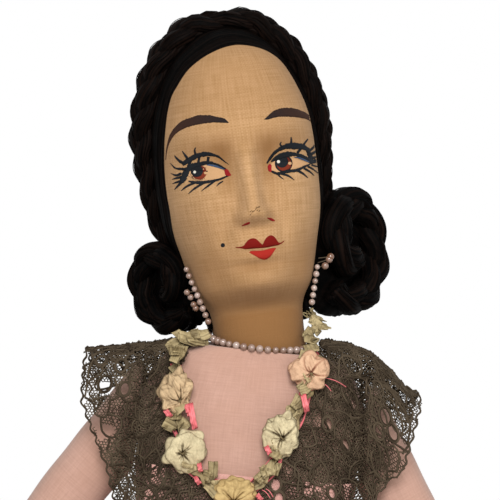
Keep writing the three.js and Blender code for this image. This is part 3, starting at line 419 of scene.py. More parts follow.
# Head: the same stations as the solids, measured up from the neck pivot, then moulded like the pressed face
head = {
    "pivot": (-2.70, 0.0, 217.0), "lean": -13.0, "turn": 6.0, "power": 2.15, "rings": 150, "columns": 150,
    "stations": [(-23, 20.5, 20), (2, 21, 20.5), (15, 26.4, 27), (31, 30.8, 34), (47, 34.6, 38.5), (67, 35.5, 40.5),
                 (90, 34, 39.3), (111, 26, 30.8), (122, 16.2, 19.4), (127.2, 8, 9.6), (129, 0.02, 0.02)],
    "nose": {"top": 76, "tip": 46.5, "foot": 40.5, "height": 8.4, "bridge": 3.3, "wide": 5.0},
}
headTurn = np.array(Matrix.Rotation(math.radians(head["lean"]), 3, "Y")
                    @ Matrix.Rotation(math.radians(head["turn"]), 3, "Z"))
headLine = smoothCurve(head["stations"], 400)


def toWorld(points):
    return np.asarray(points, float) @ headTurn.T + np.array(head["pivot"])


def headSize(height):
    return (np.interp(height, headLine[:, 0], headLine[:, 1]), np.interp(height, headLine[:, 0], headLine[:, 2]))


def headSetback(height):
    share = smoothstep(height, 3, 67)
    return 3.5 * share - 4.5 * smoothstep(height, 2, 15) * (1 - share)


def hump(x, z, atX, atZ, wideX, wideZ):
    return np.exp(-((x - atX) / wideX) ** 2 - ((z - atZ) / wideZ) ** 2)


def humpPair(x, z, atX, *rest):
    # the same hump at both sides
    return hump(x, z, -atX, *rest) + hump(x, z, atX, *rest)


def pressedFace(x, z):
    # how far the moulded face stands forward of the plain head form
    nose = head["nose"]
    climb = np.clip((nose["top"] - z) / (nose["top"] - nose["tip"]), 0, 1)
    foot = smoothstep(z, nose["foot"] - 2.0, nose["tip"] - 1.0)
    wide = nose["bridge"] + (nose["wide"] - nose["bridge"]) * climb
    ridge = (nose["height"] * (0.16 + 0.84 * climb ** 1.3) * smoothstep(climb, 0, 0.15) * foot
             * np.exp(-np.abs(x / wide) ** 2.4))
    both = lambda *place: humpPair(x, z, *place)
    wings = 2.6 * both(5.2, 43.8, 2.8, 3.2)
    sockets = -3.2 * both(17, 67.5, 11, 7.5) - 1.9 * both(8.6, 66, 4.2, 9)
    brow = 1.3 * both(16, 82, 14, 7)
    lips = 1.7 * hump(x, z, 0, 31, 16, 11) + 1.0 * hump(x, z, 0, 32.3, 8, 3) + 1.1 * hump(x, z, 0, 25.8, 6.5, 2.6)
    chin = (4.4 * hump(x, z, 0, 15.5, 12.5, 6.0) - 1.5 * hump(x, z, 0, 23.2, 11, 2.2)
            - 1.4 * hump(x, z, 0, 3.5, 22, 5.0) - 1.1 * both(17, 20, 4.5, 8))
    cheeks = 2.0 * both(20, 46, 11, 13)
    creases = -1.3 * both(12.5, 37.5, 3.4, 9) - 0.7 * hump(x, z, 0, 29.2, 10, 1.1)
    return ridge + wings + sockets + brow + lips + chin + cheeks + creases


def faceDustAndShade(x, z):
    # old dust in the hollows of the pressed face and up the neck, and painted shade: darker in the eye sockets, beside
    # the nose, under the lower lip, round the chin and jaw, under the chin down the neck, and at the top and sides of
    # the face
    both = lambda *place: humpPair(x, z, *place)
    chinEdge = np.hypot((x - 2) / 15, np.minimum(z - 26, 0) / 13.5)
    eyes = 0.68 * both(9.5, 66, 5, 12) + 0.6 * both(17, 75, 13, 5.5)
    nose = 0.34 * both(7.2, 43, 3.2, 4) + 0.2 * hump(x, z, 0, 39.3, 6, 2.2)
    chin = 0.3 * hump(x, z, 0, 22.5, 10, 2.4) + 0.22 * smoothstep(chinEdge, 0.8, 1.4) * smoothstep(-z, -44, -26)
    neck = (0.37 - 0.25 * smoothstep(np.abs(x), 12, 20)) * smoothstep(-z, -4, 2) + 0.2 * smoothstep(-z, -12, -4)
    edge = 0.1 * smoothstep(np.abs(x), 26, 36) + 0.34 * smoothstep(z, 74, 98) + 0.36 * smoothstep(-z, -44, -22)
    return np.clip(eyes + nose + chin + neck + edge, 0, 0.95)


def headGrid(first, last, columns, out, moulded):
    line = evenly(headLine, head["rings"])
    angle = np.linspace(first, last, columns)
    z, wide, deep = (line[:, k][:, None] for k in range(3))
    x = (wide + out) * signedPower(np.cos(angle), 2 / head["power"])[None]
    y = headSetback(z) + (deep + out) * signedPower(np.sin(angle), 2 / head["power"])[None]
    z = np.broadcast_to(z, x.shape)
    if moulded:
        facing = smoothstep(-np.sin(angle), 0.0, 0.45)[None]
        y = y - pressedFace(x, z) * facing
    return np.stack([x, y, z], -1)


lap = 0.05
faceForm = headGrid(math.pi - lap, 2 * math.pi + lap, head["columns"], 0.0, True)
faceGrid = toWorld(faceForm)
backGrid = toWorld(headGrid(-lap, math.pi + lap, 90, -0.12, False))
# the face's tone is old dust and painted shade, pulled towards the linen's stain colour
faceLinen = gridPiece("faceLinen", faceGrid, linen, tone=faceDustAndShade(faceForm[..., 0], faceForm[..., 2]), outward=False)
headBackLinen = gridPiece("headBackLinen", backGrid, linen, tone=np.full(backGrid.shape[:2], 0.15), outward=False)


def lookOutward(piece, inside):
    # turn an open skin's faces away from a point inside it
    away = sum((face.center - Vector(np.asarray(inside) * metres)).dot(face.normal) * face.area
               for face in piece.data.polygons)
    if away < 0:
        piece.data.flip_normals()


headMiddle = np.array([0.0, 3.0, 70.0])
for skin in (faceLinen, headBackLinen):
    lookOutward(skin, toWorld(headMiddle))


def treeOf(points):
    rows, cols = points.shape[:2]
    quads = [(a, a + 1, a + cols + 1, a + cols) for i in range(rows - 1)
             for a in range(i * cols, (i + 1) * cols - 1)]
    return BVHTree.FromPolygons(points.reshape(-1, 3).tolist(), quads)


faceTree = treeOf(faceGrid)
skullTree = treeOf(headGrid(0, 2 * math.pi, 120, 0.0, False))


def ontoFace(px, py, lift):
    # where a pixel of the photograph falls on the face, or nearest to it
    way = sightLine(px, py)
    hit = faceTree.ray_cast(Vector(eye), Vector(way))
    if hit[0] is None:
        near = [faceTree.find_nearest(Vector(eye + way * (photo["distance"] + d))) for d in range(-45, 70, 3)]
        hit = min(near, key=lambda found: found[3])
    normal = np.array(hit[1])
    if np.dot(normal, eye - np.array(hit[0])) < 0:
        normal = -normal
    return np.array(hit[0]) + normal * lift


def overHead(direction, out):
    # a point on the plain head form in a direction from the head's middle, lifted off it
    hit = skullTree.ray_cast(Vector(headMiddle), Vector(direction))
    return np.array(hit[0]) + unit(direction) * out


# Face paint: strokes and filled shapes drawn by photograph pixels and laid on the pressed linen
films = {name: {"points": [], "faces": [], "tone": []} for name in paints}
hand = np.random.default_rng(7)


def addFilm(paint, rows, tones, lift):
    film = films[paint]
    first, cols = len(film["points"]), len(rows[0])
    for row, tone in zip(rows, tones):
        film["points"] += [ontoFace(px, py, lift) for px, py in row]
        film["tone"] += [float(tone)] * cols
    for i in range(len(rows) - 1):
        for j in range(cols - 1):
            a = first + i * cols + j
            film["faces"].append([a, a + 1, a + cols + 1, a + cols])


def stroke(paint, marks, lift, tones=(0.2, 0.8), rough=0.1):
    # marks: x, y and width of the brush line, in pixels
    line = smoothCurve(marks, max(8, int(lengthOf([m[:2] for m in marks]) * 1.2)))
    along = unit(np.gradient(line[:, :2], axis=0))
    across = np.stack([-along[:, 1], along[:, 0]], 1)
    half = np.maximum(line[:, 2], 0.12) * 0.5 * (1 + rough * hand.standard_normal(len(line)))
    rows = [[p + a * h * side for side in (-1, -0.4, 0.4, 1)] for p, a, h in zip(line[:, :2], across, half)]
    addFilm(paint, rows, np.linspace(tones[0], tones[1], len(rows)), lift)


def between(paint, upper, lower, lift):
    # a filled shape between two drawn edges
    count = max(12, int(lengthOf(upper) * 1.2))
    high, low = evenly(smoothCurve(upper, 80), count), evenly(smoothCurve(lower, 80), count)
    rows = [[h + (l - h) * share for share in np.linspace(0, 1, 6)] for h, l in zip(high, low)]
    addFilm(paint, rows, np.linspace(0.3, 0.7, count), lift)


def disc(paint, middle, radius, lift, squash=1.0, tones=(0.4, 0.6)):
    angles = np.radians(np.linspace(0, 360, 30))
    rows = [[np.array(middle) + r * radius * np.array([math.cos(a), -math.sin(a) * squash])
             for r in np.linspace(0, 1, 5)] for a in angles]
    addFilm(paint, rows, np.linspace(tones[0], tones[1], len(rows)), lift)


def brushLines(paint, corner, zoom, lines, lift, tones=(0.2, 0.8)):
    # lines measured on an enlarged crop: corner is its first pixel, zoom its scale
    for marks in lines:
        stroke(paint, [(corner[0] + x / zoom, corner[1] + y / zoom, w / zoom) for x, y, w in marks], lift, tones)


# the brows from the nose outwards, and each eye's lids, lashes and patches of colour
brows = [[(228.6, 122.8, 0.6), (223.8, 120.7, 4.4), (217.4, 119.8, 5.7), (211, 119.1, 7.6), (204.6, 119.3, 8.6),
          (198.3, 119.9, 9.2), (191.9, 121.7, 8.3), (185.5, 123.7, 8.0), (179.8, 127.1, 6.8), (175, 131.3, 5.2),
          (171.5, 136, 3.8), (169.4, 140.8, 2.6), (167.7, 145.9, 1.6), (166.4, 152.9, 1.1), (165.8, 160, 0.5)],
         [(264.3, 119.4, 0.5), (267.9, 118, 3.2), (272.3, 115.4, 5.7), (276.8, 113.5, 7.6), (281.9, 112.5, 8.9),
          (288.3, 112.3, 8.9), (294.6, 112.9, 8.6), (299.7, 114.1, 7.6), (304.8, 115.7, 6), (308.7, 118, 4.5),
          (311.5, 120.5, 2.9), (314.1, 123.7, 1.1), (314.9, 125, 0.3)]]
eyeZoom = 15.68
rightEye = {
    "corner": (160, 100), "ring": (198.9, 172.1), "iris": (199.3, 172.3), "pupil": (196.9, 170.9),
    "glint": ((194.8, 172.1), 1.4), "spot": ((205.6, 173.0), 1.7),
    "white": ([(229, 174), (222, 169.5), (214, 166), (206, 164.5), (196, 165), (188, 171)],
              [(229, 175), (222, 178), (214, 180.5), (206, 181.5), (196, 180.5), (188, 176)]),
    "lids": [
        [(1085, 1015, 4), (1010, 960, 18), (920, 890, 32), (840, 862, 42), (750, 845, 62), (650, 855, 75),
         (560, 885, 80), (480, 925, 85), (410, 970, 80), (350, 1010, 50)],
        [(1040, 1085, 14), (960, 1045, 36), (880, 1010, 44), (800, 985, 50), (720, 985, 60), (630, 1005, 70),
         (540, 1025, 80), (470, 1060, 80), (420, 1120, 90), (385, 1190, 100), (360, 1250, 90), (345, 1300, 40)],
        [(1100, 1180, 10), (1030, 1205, 26), (950, 1240, 34), (870, 1262, 38), (790, 1278, 42), (700, 1292, 48),
         (610, 1296, 46), (540, 1290, 40), (450, 1275, 26)],
        [(620, 890, 34), (600, 990, 40)], [(760, 890, 40), (750, 980, 48)], [(480, 950, 44), (450, 1050, 50)]],
    "lashes": [
        [(860, 1270, 34), (780, 1330, 30), (700, 1390, 20), (650, 1430, 6)],
        [(720, 1280, 40), (620, 1340, 36), (530, 1400, 28), (445, 1475, 8)],
        [(560, 1290, 40), (470, 1330, 36), (400, 1370, 32), (335, 1425, 10)],
        [(340, 1290, 40), (290, 1340, 36), (230, 1405, 10)], [(340, 1270, 40), (260, 1290, 32), (195, 1315, 8)],
        [(340, 1210, 44), (260, 1225, 34), (190, 1245, 8)], [(340, 1150, 44), (260, 1180, 34), (170, 1150, 8)],
        [(410, 1085, 50), (330, 1080, 40), (240, 1065, 26), (165, 990, 6)],
        [(410, 1000, 54), (330, 970, 42), (270, 920, 34), (230, 870, 10)],
        [(440, 930, 46), (400, 870, 36), (350, 800, 12)], [(560, 860, 36), (545, 790, 28), (560, 745, 16)],
        [(990, 1275, 18), (930, 1310, 24), (885, 1355, 6)]],
    "blue": [[(1015, 1090, 10), (940, 1062, 26), (860, 1035, 30), (780, 1020, 26), (735, 1020, 10)]],
    "red": ([(224.2, 169.6), (227.6, 169.4), (230.4, 173.6), (231.4, 175)],
            [(225, 174), (226.3, 175.8), (229.8, 176), (231.4, 175.2)]),
}
leftEye = {
    "corner": (250, 95), "ring": (283.6, 163.4), "iris": (284.0, 163.7), "pupil": (281.9, 161.5),
    "glint": ((278.4, 161.7), 1.6), "spot": ((289.8, 163.4), 1.9),
    "white": ([(269, 168), (272, 163), (278, 158.5), (286, 156.5), (295, 158), (303, 161), (309, 164)],
              [(269, 168.5), (273, 172), (279, 173), (287, 171.5), (295, 169.5), (303, 167), (309, 164.5)]),
    "lids": [
        [(262, 1075, 16), (300, 1015, 40), (370, 920, 46), (430, 870, 52), (500, 830, 70), (580, 802, 85),
         (660, 800, 100), (740, 800, 92), (820, 812, 80), (880, 842, 66), (950, 880, 50)],
        [(330, 1045, 24), (420, 985, 70), (500, 950, 90), (600, 930, 80), (700, 930, 60), (800, 960, 64),
         (880, 1000, 66), (960, 1045, 66), (1090, 1025, 26)],
        [(320, 1190, 24), (420, 1232, 42), (500, 1222, 52), (600, 1195, 52), (700, 1188, 50), (780, 1160, 42),
         (860, 1120, 32), (940, 1085, 20)],
        [(900, 870, 60), (940, 960, 70), (960, 1050, 60)]],
    "lashes": [
        [(500, 810, 30), (470, 770, 24), (490, 735, 14)], [(640, 770, 34), (645, 710, 30), (640, 660, 16)],
        [(740, 910, 46), (820, 800, 40), (905, 690, 18)], [(900, 900, 50), (980, 830, 36), (1050, 740, 8)],
        [(950, 930, 50), (1020, 890, 36), (1075, 840, 8)], [(970, 990, 50), (1040, 970, 36), (1085, 920, 8)],
        [(1000, 1030, 50), (1060, 1030, 44), (1095, 1020, 20)], [(960, 1095, 30), (1020, 1115, 24), (1085, 1130, 8)],
        [(900, 1120, 30), (980, 1160, 26), (1065, 1225, 8)], [(840, 1150, 32), (930, 1200, 28), (1005, 1265, 8)],
        [(740, 1185, 40), (830, 1235, 34), (905, 1300, 8)], [(490, 1235, 36), (600, 1270, 30), (695, 1335, 8)],
        [(425, 1240, 20), (480, 1290, 22), (530, 1325, 6)]],
    "blue": [[(690, 975, 10), (770, 990, 24), (850, 1020, 26), (930, 1058, 10)]],
    "red": ([(267.4, 166.4), (269.5, 163.9), (271.6, 165.4)], [(267.6, 168), (268.6, 171.3), (271.4, 172)]),
}


def paintEye(plan):
    between("pale", *plan["white"], 0.04)
    disc("black", plan["ring"], 8.9, 0.07)
    disc("iris", plan["iris"], 7.4, 0.10, 1.0, (0.2, 0.8))
    disc("black", plan["pupil"], 6.2, 0.13)
    disc("light", *plan["glint"], 0.16)
    disc("pale", *plan["spot"], 0.15, 0.8)
    brushLines("black", plan["corner"], eyeZoom, plan["lids"], 0.15)
    brushLines("black", plan["corner"], eyeZoom, plan["lashes"], 0.15, (0.3, 1.0))
    brushLines("blue", plan["corner"], eyeZoom, plan["blue"], 0.18)
    between("red", *plan["red"], 0.18)


def paintMouth():
    corner, zoom = (225, 200), 20.9
    at = lambda marks: [(corner[0] + x / zoom, corner[1] + y / zoom) for x, y in marks]
    between("upperLip", at([(225, 985), (340, 975), (400, 945), (430, 900), (480, 842), (540, 808), (600, 800),
                            (650, 815), (700, 858), (750, 908), (786, 936)]),
            at([(225, 1000), (340, 1010), (420, 1025), (500, 1022), (600, 1012), (700, 1005), (790, 1000)]), 0.1)
    between("upperLip", at([(780, 938), (812, 878), (840, 820), (890, 765), (950, 738), (1000, 748), (1050, 790),
                            (1090, 850), (1120, 888), (1170, 888), (1210, 862), (1236, 848)]),
            at([(780, 1001), (900, 985), (1000, 965), (1100, 945), (1150, 925), (1200, 895), (1240, 858)]), 0.1)
    between("lowerLip", at([(508, 1090), (550, 1066), (700, 1060), (800, 1050), (900, 1026), (1000, 1004),
                            (1062, 1004)]),
            at([(510, 1098), (560, 1130), (640, 1172), (720, 1220), (810, 1246), (880, 1230), (950, 1180),
                (1000, 1110), (1040, 1050), (1064, 1014)]), 0.1)
    brushLines("pale", corner, zoom,
               [[(500, 1042, 6), (640, 1034, 16), (785, 1022, 18), (930, 1000, 16), (1060, 976, 6)]], 0.12)
    brushLines("red", corner, zoom, [[(350, 540, 14), (430, 506, 40), (490, 482, 44), (522, 466, 20)],
                                     [(882, 372, 12), (950, 398, 44), (1000, 420, 42), (1042, 440, 12)]], 0.12)
    # scuffs on the tip of the nose
    scuffs = ((525, 255), (560, 262), (590, 250), (640, 180), (672, 172), (700, 165), (660, 235), (700, 250),
              (625, 215), (520, 320))
    brushLines("scuff", corner, zoom,
               [[(x, y, 8), (x + 18, y - 22, 14), (x + 34, y - 40, 6)] for x, y in scuffs], 0.1)
    disc("black", (222.9, 245.2), 2.1, 0.1)


for marks in brows:
    stroke("brow", marks, 0.08, (0.0, 1.1), 0.05)
paintEye(rightEye)
paintEye(leftEye)
stroke("scuff", [(320.8, 181, 0.8), (321.5, 184, 1.2), (322, 187, 0.5)], 0.08)
paintMouth()
for name, film in films.items():
    piece = makePiece(f"{name}Paint", film["points"], film["faces"], paints[name], None, film["tone"])
    lookOutward(piece, toWorld(headMiddle))
    coat = piece.modifiers.new("coat", "SOLIDIFY")
    coat.thickness, coat.offset = 0.03 * metres, -1
    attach(piece, "torso")
for skin, nodes in ((faceLinen, ("face_mask", "head_stuffing")), (headBackLinen, ("head_back_cover",))):
    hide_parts(*nodes)
    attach(skin, "torso")
print("head and face paint made")

# Hair: bands combed along the hairline, a plaited crown over them and a coiled plait at each side
# the crown's strands are drawn lighter than the buns', and loose strands lighter than locks: painted sheen over a
# random strand tone
hair = {"strand": 0.19, "capOut": 1.7, "bandStrands": 60, "lockStrands": 46, "loose": 12, "sideStrands": 480,
        "backStrands": 640, "knot": (25.0, 17.0, 22.0), "crownPitch": 40.0, "crownWide": 9.6, "crownThick": 5.6,
        "crownToneAndSheen": (0.26, 0.42), "bunToneAndSheen": (0.08, 0.2)}
# the hairline by photograph pixels, from the middle of the forehead down each side; the nape is in the head's frame
hairline = {-1: [(236, 45), (224, 47.5), (212.5, 52.3), (197.4, 61.9), (186.7, 72), (177.6, 86), (171.6, 96.8),
                 (167.7, 111.8), (165.6, 129), (164.5, 150.5), (164.7, 172), (166.7, 193.5), (170.5, 215),
                 (176.3, 243), (182, 262)],
            1: [(236, 45), (246, 45.5), (257.6, 47.7), (274.8, 55.9), (289.9, 67.7), (300.6, 80.6), (307.1, 94.6),
                (311.4, 111.8), (314.6, 129), (318.9, 150.5), (322.6, 172), (324.8, 192), (324.9, 211),
                (323.6, 228), (319.4, 254), (316.5, 270)]}
nape = [(24, 13, 27), (13, 19, 23), (0, 22, 21)]


def inHead(points):
    return (np.asarray(points, float) - np.array(head["pivot"])) @ headTurn


def hairEdge(side):
    return [inHead(ontoFace(px, py, 0.0)) for px, py in hairline[side]]


def overHeadLine(start, end, count, out):
    a, b = unit(np.asarray(start) - headMiddle), unit(np.asarray(end) - headMiddle)
    share = np.linspace(0, 1, count)[:, None]
    angle = max(math.acos(float(np.clip(a @ b, -1, 1))), 1e-3)
    ways = (a * np.sin((1 - share) * angle) + b * np.sin(share * angle)) / math.sin(angle)
    return np.array([overHead(way, o) for way, o in zip(ways, np.broadcast_to(out, (count,)))])


edges = {side: hairEdge(side) for side in (-1, 1)}
halves = [evenly(smoothCurve(edges[side] + [np.array(p) * [side, 1, 1] for p in nape], 240), 61)
          for side in (1, -1)]
border = np.concatenate([halves[0], halves[1][::-1][1:-1]])
backPole, capSteps = np.array([0.0, 60.0, 84.0]), 22
capLift = 0.2 + hair["capOut"] * smoothstep(np.linspace(0, 1, capSteps), 0.02, 0.2)
capRows = np.array([overHeadLine(p, backPole, capSteps, capLift) for p in border])
streaks = np.random.default_rng(3).uniform(0.05, 0.4, len(border))
hairCap = gridPiece("hairCap", toWorld(capRows.transpose(1, 0, 2)), floss, around=True,
                    tone=np.repeat(streaks[None], capSteps, 0), outward=False)
lookOutward(hairCap, toWorld(headMiddle))


def cheekWidth(depth, height):
    wide, deep = headSize(height)
    share = min(abs(depth - float(headSetback(height))) / deep, 0.97)
    return wide * (1 - share ** head["power"]) ** (1 / head["power"])


def crownGuide(place):
    # place from -1, the doll's right end, over the crown at 0, to 1
    share = math.sin(math.pi / 2 * (1 - abs(place)))
    height, depth = 36 + 90 * share, 4.5 + 12.5 * (1 - share)
    return np.array([np.sign(place) * cheekWidth(depth, height), depth, height])


def lockPiece(name, middle, side, out, wide, thick, seed, shade=0.3):
    # one lock of floss: an oval bundle, ridged by its strands, each with its own tone
    rng = np.random.default_rng(seed)
    count = hair["lockStrands"]
    angle = 2 * np.pi * np.arange(count) / count
    ridge = (1 + rng.normal(0, 0.035, count)[None]
             + 0.03 * np.sin(np.linspace(0, 40, len(middle))[:, None] + rng.uniform(0, 6, count)[None]))
    x, y = np.cos(angle)[None] * ridge * wide[:, None], np.sin(angle)[None] * ridge * thick[:, None]
    points = middle[:, None] + side[:, None] * x[..., None] + out[:, None] * y[..., None]
    tone = np.clip(np.repeat(rng.normal(shade, 0.3, count)[None], len(middle), 0)
                   + rng.normal(0, 0.06, x.shape), 0, 1)
    return gridPiece(name, toWorld(points), floss, around=True, caps=(True, True), tone=tone)


def plaitPiece(name, coils, shade):
    # coils: guide, outward, half width, half thickness, size along the plait, pitch and seed
    made, loose, tones = [], [], []
    for guide, outward, wide, thick, size, pitch, seed in coils:
        rng = np.random.default_rng(seed)
        along = unit(np.gradient(guide, axis=0))
        out = unit(outward - along * (outward * along).sum(1, keepdims=True))
        side = np.cross(along, out)
        run = runOf(guide)
        lockWide, lockThick = 0.57 * wide * size, 0.74 * thick * size
        for lock in range(3):
            phase = 2 * np.pi * (run / pitch + lock / 3)
            middle = (guide + side * (0.38 * wide * size * np.sin(phase))[:, None]
                      + out * (0.26 * thick * size * np.sin(2 * phase))[:, None])
            way = unit(np.gradient(middle, axis=0))
            flat = unit(np.cross(way, out))
            made.append(lockPiece("lock", middle, flat, unit(np.cross(flat, way)), lockWide, lockThick,
                                  seed * 10 + lock, shade[0]))
            for n in range(hair["loose"]):
                turn = rng.uniform(0, 2 * np.pi) + 0.4 * np.sin(phase * rng.uniform(0.3, 1))
                lift = 1.03 + 0.06 * np.abs(np.sin(run / rng.uniform(6, 14) + rng.uniform(0, 6)))
                loose.append(middle + side * (lockWide * lift * np.cos(turn))[:, None]
                             + out * (lockThick * lift * np.sin(turn))[:, None])
                tones.append(float(np.clip(rng.normal(shade[1], 0.3), 0, 1)))
    made.append(threadPiece(name + "Loose", [toWorld(line) for line in loose], hair["strand"], floss, 3, tones))
    return joined(name, made)


crownCount, crownSteps = 61, 180
crownPlaces = np.linspace(-1, 1, crownCount)
crownBase = np.array([crownGuide(p) for p in crownPlaces])
crownAlong = unit(np.gradient(crownBase, axis=0))
crownOut = unit(np.stack([-crownAlong[:, 2], np.full(crownCount, -0.28), crownAlong[:, 0]], 1))
crownRise = 5.4 + 1.8 * smoothstep(1 - np.abs(crownPlaces), 0, 0.7)


def finer(rows):
    at = np.linspace(0, crownCount - 1, crownSteps)
    return np.stack([np.interp(at, np.arange(crownCount), rows[:, k]) for k in range(3)], 1)


crownLine, crownFacing = finer(crownBase + crownOut * crownRise[:, None]), finer(crownOut)
crownStep = np.arange(crownSteps)
ends = np.minimum(crownStep, crownSteps - 1 - crownStep) / 90
crownSize = (0.62 + 0.38 * smoothstep(ends, 0, 0.5)) * np.interp(crownStep, [0, 90, 179], [1.05, 1.0, 0.9])
crownBraid = plaitPiece("crownBraid", [(crownLine, crownFacing, hair["crownWide"], hair["crownThick"], crownSize,
                                        hair["crownPitch"], 11)], hair["crownToneAndSheen"])
crownSide = unit(np.cross(unit(np.gradient(crownLine, axis=0)), crownFacing))
crownRoll = lockPiece("crownRoll", crownLine - crownFacing * 2.6, crownSide, crownFacing, 7.6 * crownSize,
                      4.4 * crownSize, 17)
crownBraid = joined("crownBraid", [crownBraid, crownRoll])

# Buns: each coil as the solids have it, with a second turn behind it against the head
buns = {"Right": {"side": -1, "rim": 22.8, "rope": 6.2, "lift": 18.5, "space": -0.9, "pitch": 42.0, "seed": 21},
        "Left": {"side": 1, "rim": 31.0, "rope": 7.6, "lift": 25.0, "space": 2.4, "pitch": 54.0, "seed": 23}}
# the rope's outer end lies low against the head, and it winds inwards after half a turn
bunStart, bunHold, bunFacing = -2.3, 0.5, math.radians(52)


def bunCoil(bun, behind):
    side, rope, rim = bun["side"], bun["rope"], bun["rim"] - 0.5 * behind
    outward = np.array([side * math.sin(bunFacing), -math.cos(bunFacing), 0])
    across = np.array([side * math.cos(bunFacing), math.sin(bunFacing), 0])
    reach = bun["rim"] * math.cos(bunFacing) + rope * math.sin(bunFacing)
    wide = float(headSize(bun["lift"])[0]) + bun["space"] + reach * 0.55
    middle = np.array([side * wide, 12.0, bun["lift"]]) - outward * behind
    start, pitch = rim - rope, 2 * rope + 0.4
    turns = bunHold + (1 - bunHold) * (start - rope * 0.4) / pitch
    angle = np.linspace(0, 2 * np.pi * turns, int(110 * turns))
    radius = start - pitch * np.maximum((angle / (2 * np.pi) - bunHold) / (1 - bunHold), 0)
    guide = (middle + across * (radius * np.cos(angle + bunStart))[:, None]
             + outward * (rope * 0.5 * angle / angle[-1])[:, None]
             + upward * (radius * np.sin(angle + bunStart))[:, None])
    near = np.minimum(np.arange(len(angle)), len(angle) - 1 - np.arange(len(angle)))
    size = 0.7 + 0.3 * smoothstep(near, 0, 14)
    outwards = np.repeat(outward[None], len(angle), 0)
    return guide, outwards, rope * 1.05, rope * 0.95, size, bun["pitch"], bun["seed"] + int(behind)


def bunPad(name, bun):
    # the wad of floss that the coil is pinned on: it fills the space from the coil to the head and the neck
    rng = np.random.default_rng(bun["seed"] + 5)
    guide, outward = bunCoil(bun, bun["rope"] * 0.9)[:2]
    middle = guide.mean(0) - np.array([bun["side"] * bun["rim"] * 0.18, 0, 0])
    across = np.cross(upward, outward[0]) * bun["side"]
    turn, rise = np.linspace(0, 2 * np.pi, 97)[:-1], np.linspace(-np.pi / 2, np.pi / 2, 17)[:, None]
    reach = np.cos(rise) * (bun["rim"] - 1.4) * (1 + 0.02 * rng.normal(0, 1, 96))
    points = (middle + across * (reach * np.cos(turn))[..., None] * 1.06 + upward * (reach * np.sin(turn))[..., None]
              + outward[0] * np.broadcast_to(np.sin(rise) * bun["rope"] * 1.15, reach.shape)[..., None])
    tone = np.clip(np.repeat(rng.normal(0.08, 0.12, 96)[None], 17, 0), 0, 1)
    return gridPiece(name + "Pad", toWorld(points), floss, around=True, tone=tone)


bunPieces = {}
for name, bun in buns.items():
    plait = plaitPiece(f"bun{name}", [bunCoil(bun, 0), bunCoil(bun, bun["rope"] * 1.2)], hair["bunToneAndSheen"])
    bunPieces[name] = joined(f"bun{name}", [plait, bunPad(f"bun{name}", bun)])


def bandPiece():
    # the smooth band: strands follow the hairline from ear to ear, from its edge up to the plait
    rng = np.random.default_rng(5)
    right, left = (evenly(smoothCurve(edges[side], 200), 80) for side in (-1, 1))
    edge = np.concatenate([right[::-1], left[1:]])
    places = np.concatenate([-np.linspace(0.97, 0, 80), np.linspace(0, 0.97, 80)[1:]])
    strands = hair["bandStrands"]
    k = np.linspace(0, 1, strands)
    lift = 0.12 + 2.5 * (1 - (1 - k) ** 3) + rng.normal(0, 0.16, strands) * (k > 0.02)
    rows = []
    for p, place in zip(edge, places):
        rows.append(overHeadLine(p, crownGuide(place), strands, lift + 0.12 * np.sin(place * 21 + k * 30)))
    # a few light strands among the dark ones: painted sheen
    tone = np.repeat(np.clip(rng.normal(0.12, 0.4, strands), 0, 1)[None], len(rows), 0)
    band = gridPiece("hairBand", toWorld(np.array(rows)), floss, tone=tone, outward=False)
    lookOutward(band, toWorld(headMiddle))
    return band


def combedStrands():
    rng = np.random.default_rng(5)
    lines = []
    for side in (-1, 1):
        knot = np.array(hair["knot"]) * [side, 1, 1]
        for n in range(hair["sideStrands"]):
            start = crownGuide(side * rng.uniform(0.0, 1.0)) + np.array([0, rng.uniform(4, 9), 0])
            lines.append(overHeadLine(start, knot + rng.normal(0, 3.0, 3), 13, rng.uniform(1.7, 2.5)))
        for n in range(hair["backStrands"]):
            fall = math.radians(rng.uniform(5, 135))
            start = headMiddle + np.array([side * rng.uniform(0, 1.0), math.sin(fall) * 50, math.cos(fall) * 50])
            lines.append(overHeadLine(start, knot + rng.normal(0, 3.0, 3), 13, rng.uniform(1.7, 2.4)))
    tones = np.clip(rng.normal(0.34, 0.24, len(lines)), 0, 1)
    return threadPiece("combedHair", [toWorld(line) for line in lines], 0.3, floss, 3, tones)


# a soft roll of floss round the nape, from bun to bun; where it shows beside the neck it is dark floss set in the
# neck's shade, a painted shade
napeTurn = np.linspace(-0.15, math.pi + 0.15, 48)
napeOut = np.stack([np.cos(napeTurn), np.sin(napeTurn), 0 * napeTurn], 1)
napeSize = 0.6 + 0.4 * smoothstep(np.minimum(np.arange(48), 47 - np.arange(48)), 0, 8)
napeRoll = lockPiece("napeRoll", napeOut * 22.0 + [0.6, 0, 1.0] + np.outer(np.sin(napeTurn), [0, 1, 3]),
                     np.repeat([[0, 0, 1.0]], 48, 0), napeOut, 6.8 * napeSize, 2.4 * napeSize, 19, 0.1)
hairBand, combedHair = bandPiece(), joined("combedHair", [combedStrands(), napeRoll])
for piece, nodes in ((hairCap, ("hair_cap",)), (hairBand, ()), (combedHair, ()), (crownBraid, ("crown_braid",)),
                     (bunPieces["Right"], ("bun_right",)), (bunPieces["Left"], ("bun_left",))):
    if nodes:
        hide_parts(*nodes)
    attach(piece, "torso")
print("hair made")

# Beads: a choker round the neck seam, and an earring at each side of the jaw
beads = {"necklace": 1.7, "earring": 1.4, "count": 42, "neckWide": 23.95, "neckDeep": 23.45, "neckHeight": 206.65,
         "neckTilt": 3.2}
